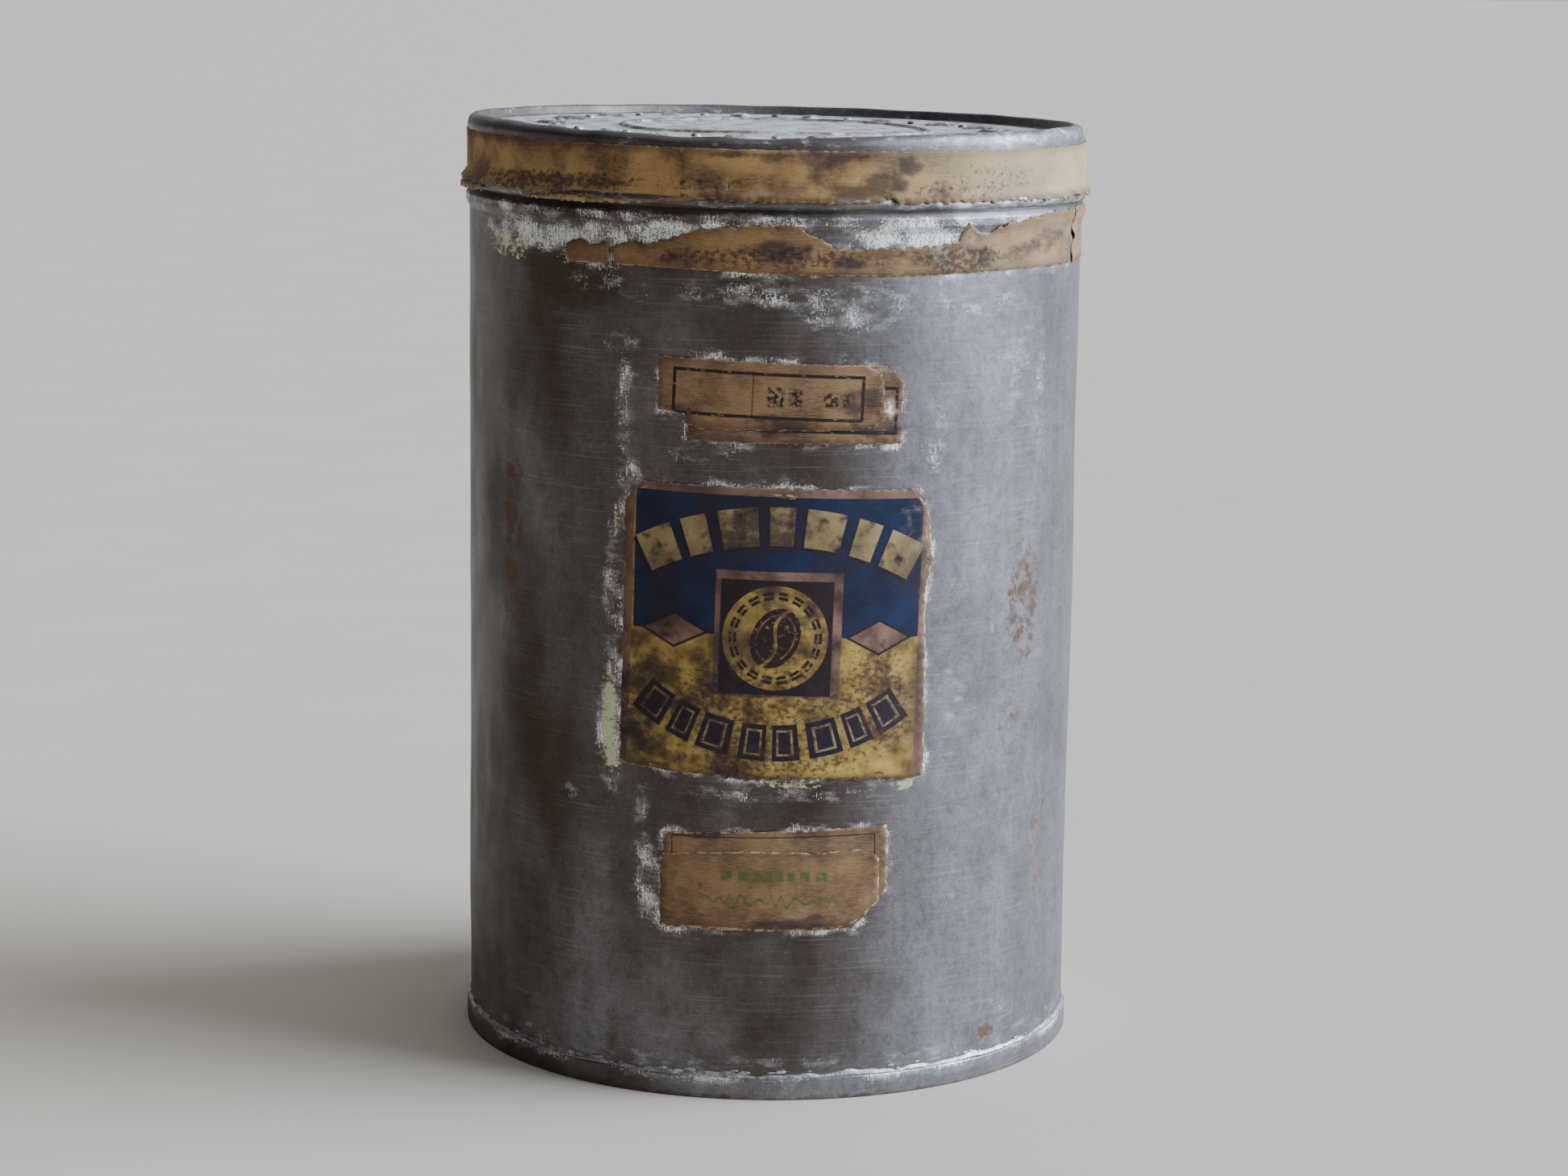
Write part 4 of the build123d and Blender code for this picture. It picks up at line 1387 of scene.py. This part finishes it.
class COFFEETIN_OT_neck_strips(bpy.types.Operator):
    """Pastes what is left of the gummed strip on the neck"""

    bl_idname = "coffeetin.neck_strips"
    bl_label = "Neck strips"

    def execute(self, context):
        tin = Tin()
        dark = context.scene.tin_colours.kraft_dark
        kraft = aged_paper("Gummed kraft paper neck strip", linear("#926d42"), dark,
                           mould=0.9, stain=0.7, fade=0.2, torn_edge=0.5)
        strips = [
            ("neck_strip", NECK_STRIP, [(65, 268, 4, 0.5), (119.3, 262, 3.0, 0.9), (78, 268, 4, 0.4)]),
            ("neck_strip_end", NECK_STRIP_END, [(121.4, 263, 3.5, 1.3)]),
            ("neck_strip_scrap", NECK_SCRAP, []),
        ]
        for k, (node, outline, flaps) in enumerate(strips):
            sheet = pasted(outline, tin.wall_bed, tin.paste + 0.05, tin.paper, 1.3, 50 + k, flaps)
            paper_piece(node + "_paper", [sheet], "tin_body", "gummed_kraft_paper", node, kraft)
        return {"FINISHED"}


class COFFEETIN_OT_labels(bpy.types.Operator):
    """Pastes the three labels, each a newer paper over an older one"""

    bl_idname = "coffeetin.labels"
    bl_label = "Labels"

    def execute(self, context):
        tin = Tin()
        tones = context.scene.tin_colours
        old, new = tones.label_dark, tones.kraft_dark
        papers = [
            ("batch_label_under", BATCH_UNDER, [(39.5, 223, 3.5, 0.9)], "old_label_paper",
             "Old label paper batch", old, under_print, 0.4, 0.7, {"torn_edge": 0.4}),
            ("batch_label_over", BATCH_OVER, [(33.5, 216, 4.0, 0.7), (-26.3, 210, 3.0, 0.5)],
             "new_label_paper", "Newer label paper batch", new, batch_print, 0.5, 0.75, {"torn_edge": 0.4}),
            ("main_label_under", MAIN_UNDER, [(51.2, 168, 3.5, 0.6)], "old_label_paper",
             "Old label paper main", old, None, 0.6, 0.5, {}),
            ("main_label_over", MAIN_OVER, [(50, 160, 5.0, 0.35)], "printed_label_paper",
             "Printed label paper", old, main_print, 1.0, 0.85, {"torn_edge": 0.35, "cockle": 0.25}),
            ("weight_label_under", WEIGHT_UNDER, [(36.8, 84, 4.0, 0.4)], "old_label_paper",
             "Old label paper weight", old, weight_under_print, 0.5, 0.5, {}),
            ("weight_label_over", WEIGHT_OVER, [(33.5, 76.5, 4.0, 0.7)], "new_label_paper",
             "Newer label paper weight", new, weight_print, 0.7, 0.6, {}),
        ]
        made = [aged_paper(name, tones.label, dark, ink, mould, stain, **more)
                for *_, name, dark, ink, mould, stain, more in papers]
        for k, ((node, outline, flaps, slot_name, *_), material) in enumerate(zip(papers, made)):
            gap = tin.paste + k % 2 * (tin.paper + tin.paste)
            sheet = pasted(outline, tin.wall_bed, gap, tin.paper, 2.0, 60 + k, flaps)
            paper_piece(node + "_paper", [sheet], "tin_body", slot_name, node, material)
        return {"FINISHED"}


class COFFEETIN_OT_stage(bpy.types.Operator):
    """Sets the pale floor, the soft light and the camera"""

    bl_idname = "coffeetin.stage"
    bl_label = "Stage"

    def execute(self, context):
        settings = context.scene.tin_stage
        half = 30.0
        corners = [(-half, -half, 0), (half, -half, 0), (half, half, 0), (-half, half, 0)]
        mesh = bpy.data.meshes.new("floor")
        mesh.from_pydata(corners, [], [(0, 1, 2, 3)])
        floor = linked("floor", mesh)
        material, tree, shader = new_material("Matte pale floor paint")
        clouds = patches(tree, object_place(tree), 90, 0.3, 0.7)
        finish(tree, shader, Base_Color=layered(tree, settings.floor, [(clouds, 0.08, linear("#a8a39b"))]),
               Roughness=0.75)
        mesh.materials.append(material)
        self.light(context, settings)
        self.camera(context)
        return {"FINISHED"}

    def light(self, context, settings):
        """A broad soft window on the right, and a room that is pale behind and dim in front on the left."""
        world = bpy.data.worlds.new("Room")
        context.scene.world = world
        world.use_nodes = True
        tree = world.node_tree
        tree.nodes.clear()
        coords = add(tree, "ShaderNodeTexCoord").node.outputs["Generated"]
        toward = add(tree, VECTOR, coords, (0.84, 0.36, 0.42), operation="DOT_PRODUCT").node.outputs[1]
        share = add(tree, RANGE, toward, -0.6, 0.85, interpolation_type="SMOOTHSTEP")
        sky = layered(tree, linear("#221a15"), [(share, 1, linear("#eff2f7"))])
        back = add(tree, "ShaderNodeBackground", sky, settings.room)
        add(tree, "ShaderNodeOutputWorld", {"Surface": back})
        window = bpy.data.lights.new("window", "SUN")
        window.energy = settings.window
        window.angle = math.radians(50)
        window.color = linear("#d2e2f6")[:3]
        linked("window", window).rotation_euler = (0.0, math.radians(62), math.radians(-3))

    def camera(self, context):
        """A long lens in front, a little above the lid's height and looking slightly down."""
        view = bpy.data.cameras.new("view")
        view.lens, view.sensor_width = 83.6, 36.0
        view.clip_start, view.clip_end = 0.05, 100.0
        camera = linked("view", view)
        pitch, yaw, roll = (math.radians(a) for a in (9.944, 0.214, 0.731))
        camera.matrix_world = (
            Matrix.Translation((0.0, -1.1757, 0.3490))
            @ Matrix.Rotation(-yaw, 4, "Z")
            @ Matrix.Rotation(math.pi / 2 - pitch, 4, "X")
            @ Matrix.Rotation(roll, 4, "Z")
        )
        context.scene.camera = camera


STEPS = (
    COFFEETIN_OT_wall, COFFEETIN_OT_bottom, COFFEETIN_OT_lid, COFFEETIN_OT_ornaments, COFFEETIN_OT_solder,
    COFFEETIN_OT_lid_strips, COFFEETIN_OT_neck_strips, COFFEETIN_OT_labels, COFFEETIN_OT_stage,
)
SETTINGS = {
    "tin_plate": TinplateSizes, "tin_wear": WearSettings, "tin_papers": PaperSizes,
    "tin_colours": FinishColours, "tin_stage": StageSettings,
}


class COFFEETIN_PT_panel(bpy.types.Panel):
    """Lists the tin's settings and the steps that build it"""

    bl_idname = "COFFEETIN_PT_panel"
    bl_label = "Coffee tin"
    bl_space_type = "VIEW_3D"
    bl_region_type = "UI"
    bl_category = "Coffee tin"

    def draw(self, context):
        for step in STEPS:
            self.layout.operator(step.bl_idname)
        for name, group in SETTINGS.items():
            box = self.layout.box()
            box.label(text=group.__doc__)
            for key in group.__annotations__:
                box.prop(getattr(context.scene, name), key)


def register():
    """Adds the settings, the steps and the panel."""
    for group in SETTINGS.values():
        bpy.utils.register_class(group)
    for name, group in SETTINGS.items():
        setattr(bpy.types.Scene, name, bpy.props.PointerProperty(type=group))
    for step in STEPS:
        bpy.utils.register_class(step)
    bpy.utils.register_class(COFFEETIN_PT_panel)


def unregister():
    """Takes them away again."""
    bpy.utils.unregister_class(COFFEETIN_PT_panel)
    for step in reversed(STEPS):
        bpy.utils.unregister_class(step)
    for name, group in SETTINGS.items():
        delattr(bpy.types.Scene, name)
        bpy.utils.unregister_class(group)


def main():
    """Builds the whole tin."""
    register()
    for step in STEPS:
        getattr(bpy.ops.coffeetin, step.bl_idname.split(".")[1])()


if __name__ == "__main__":
    main()
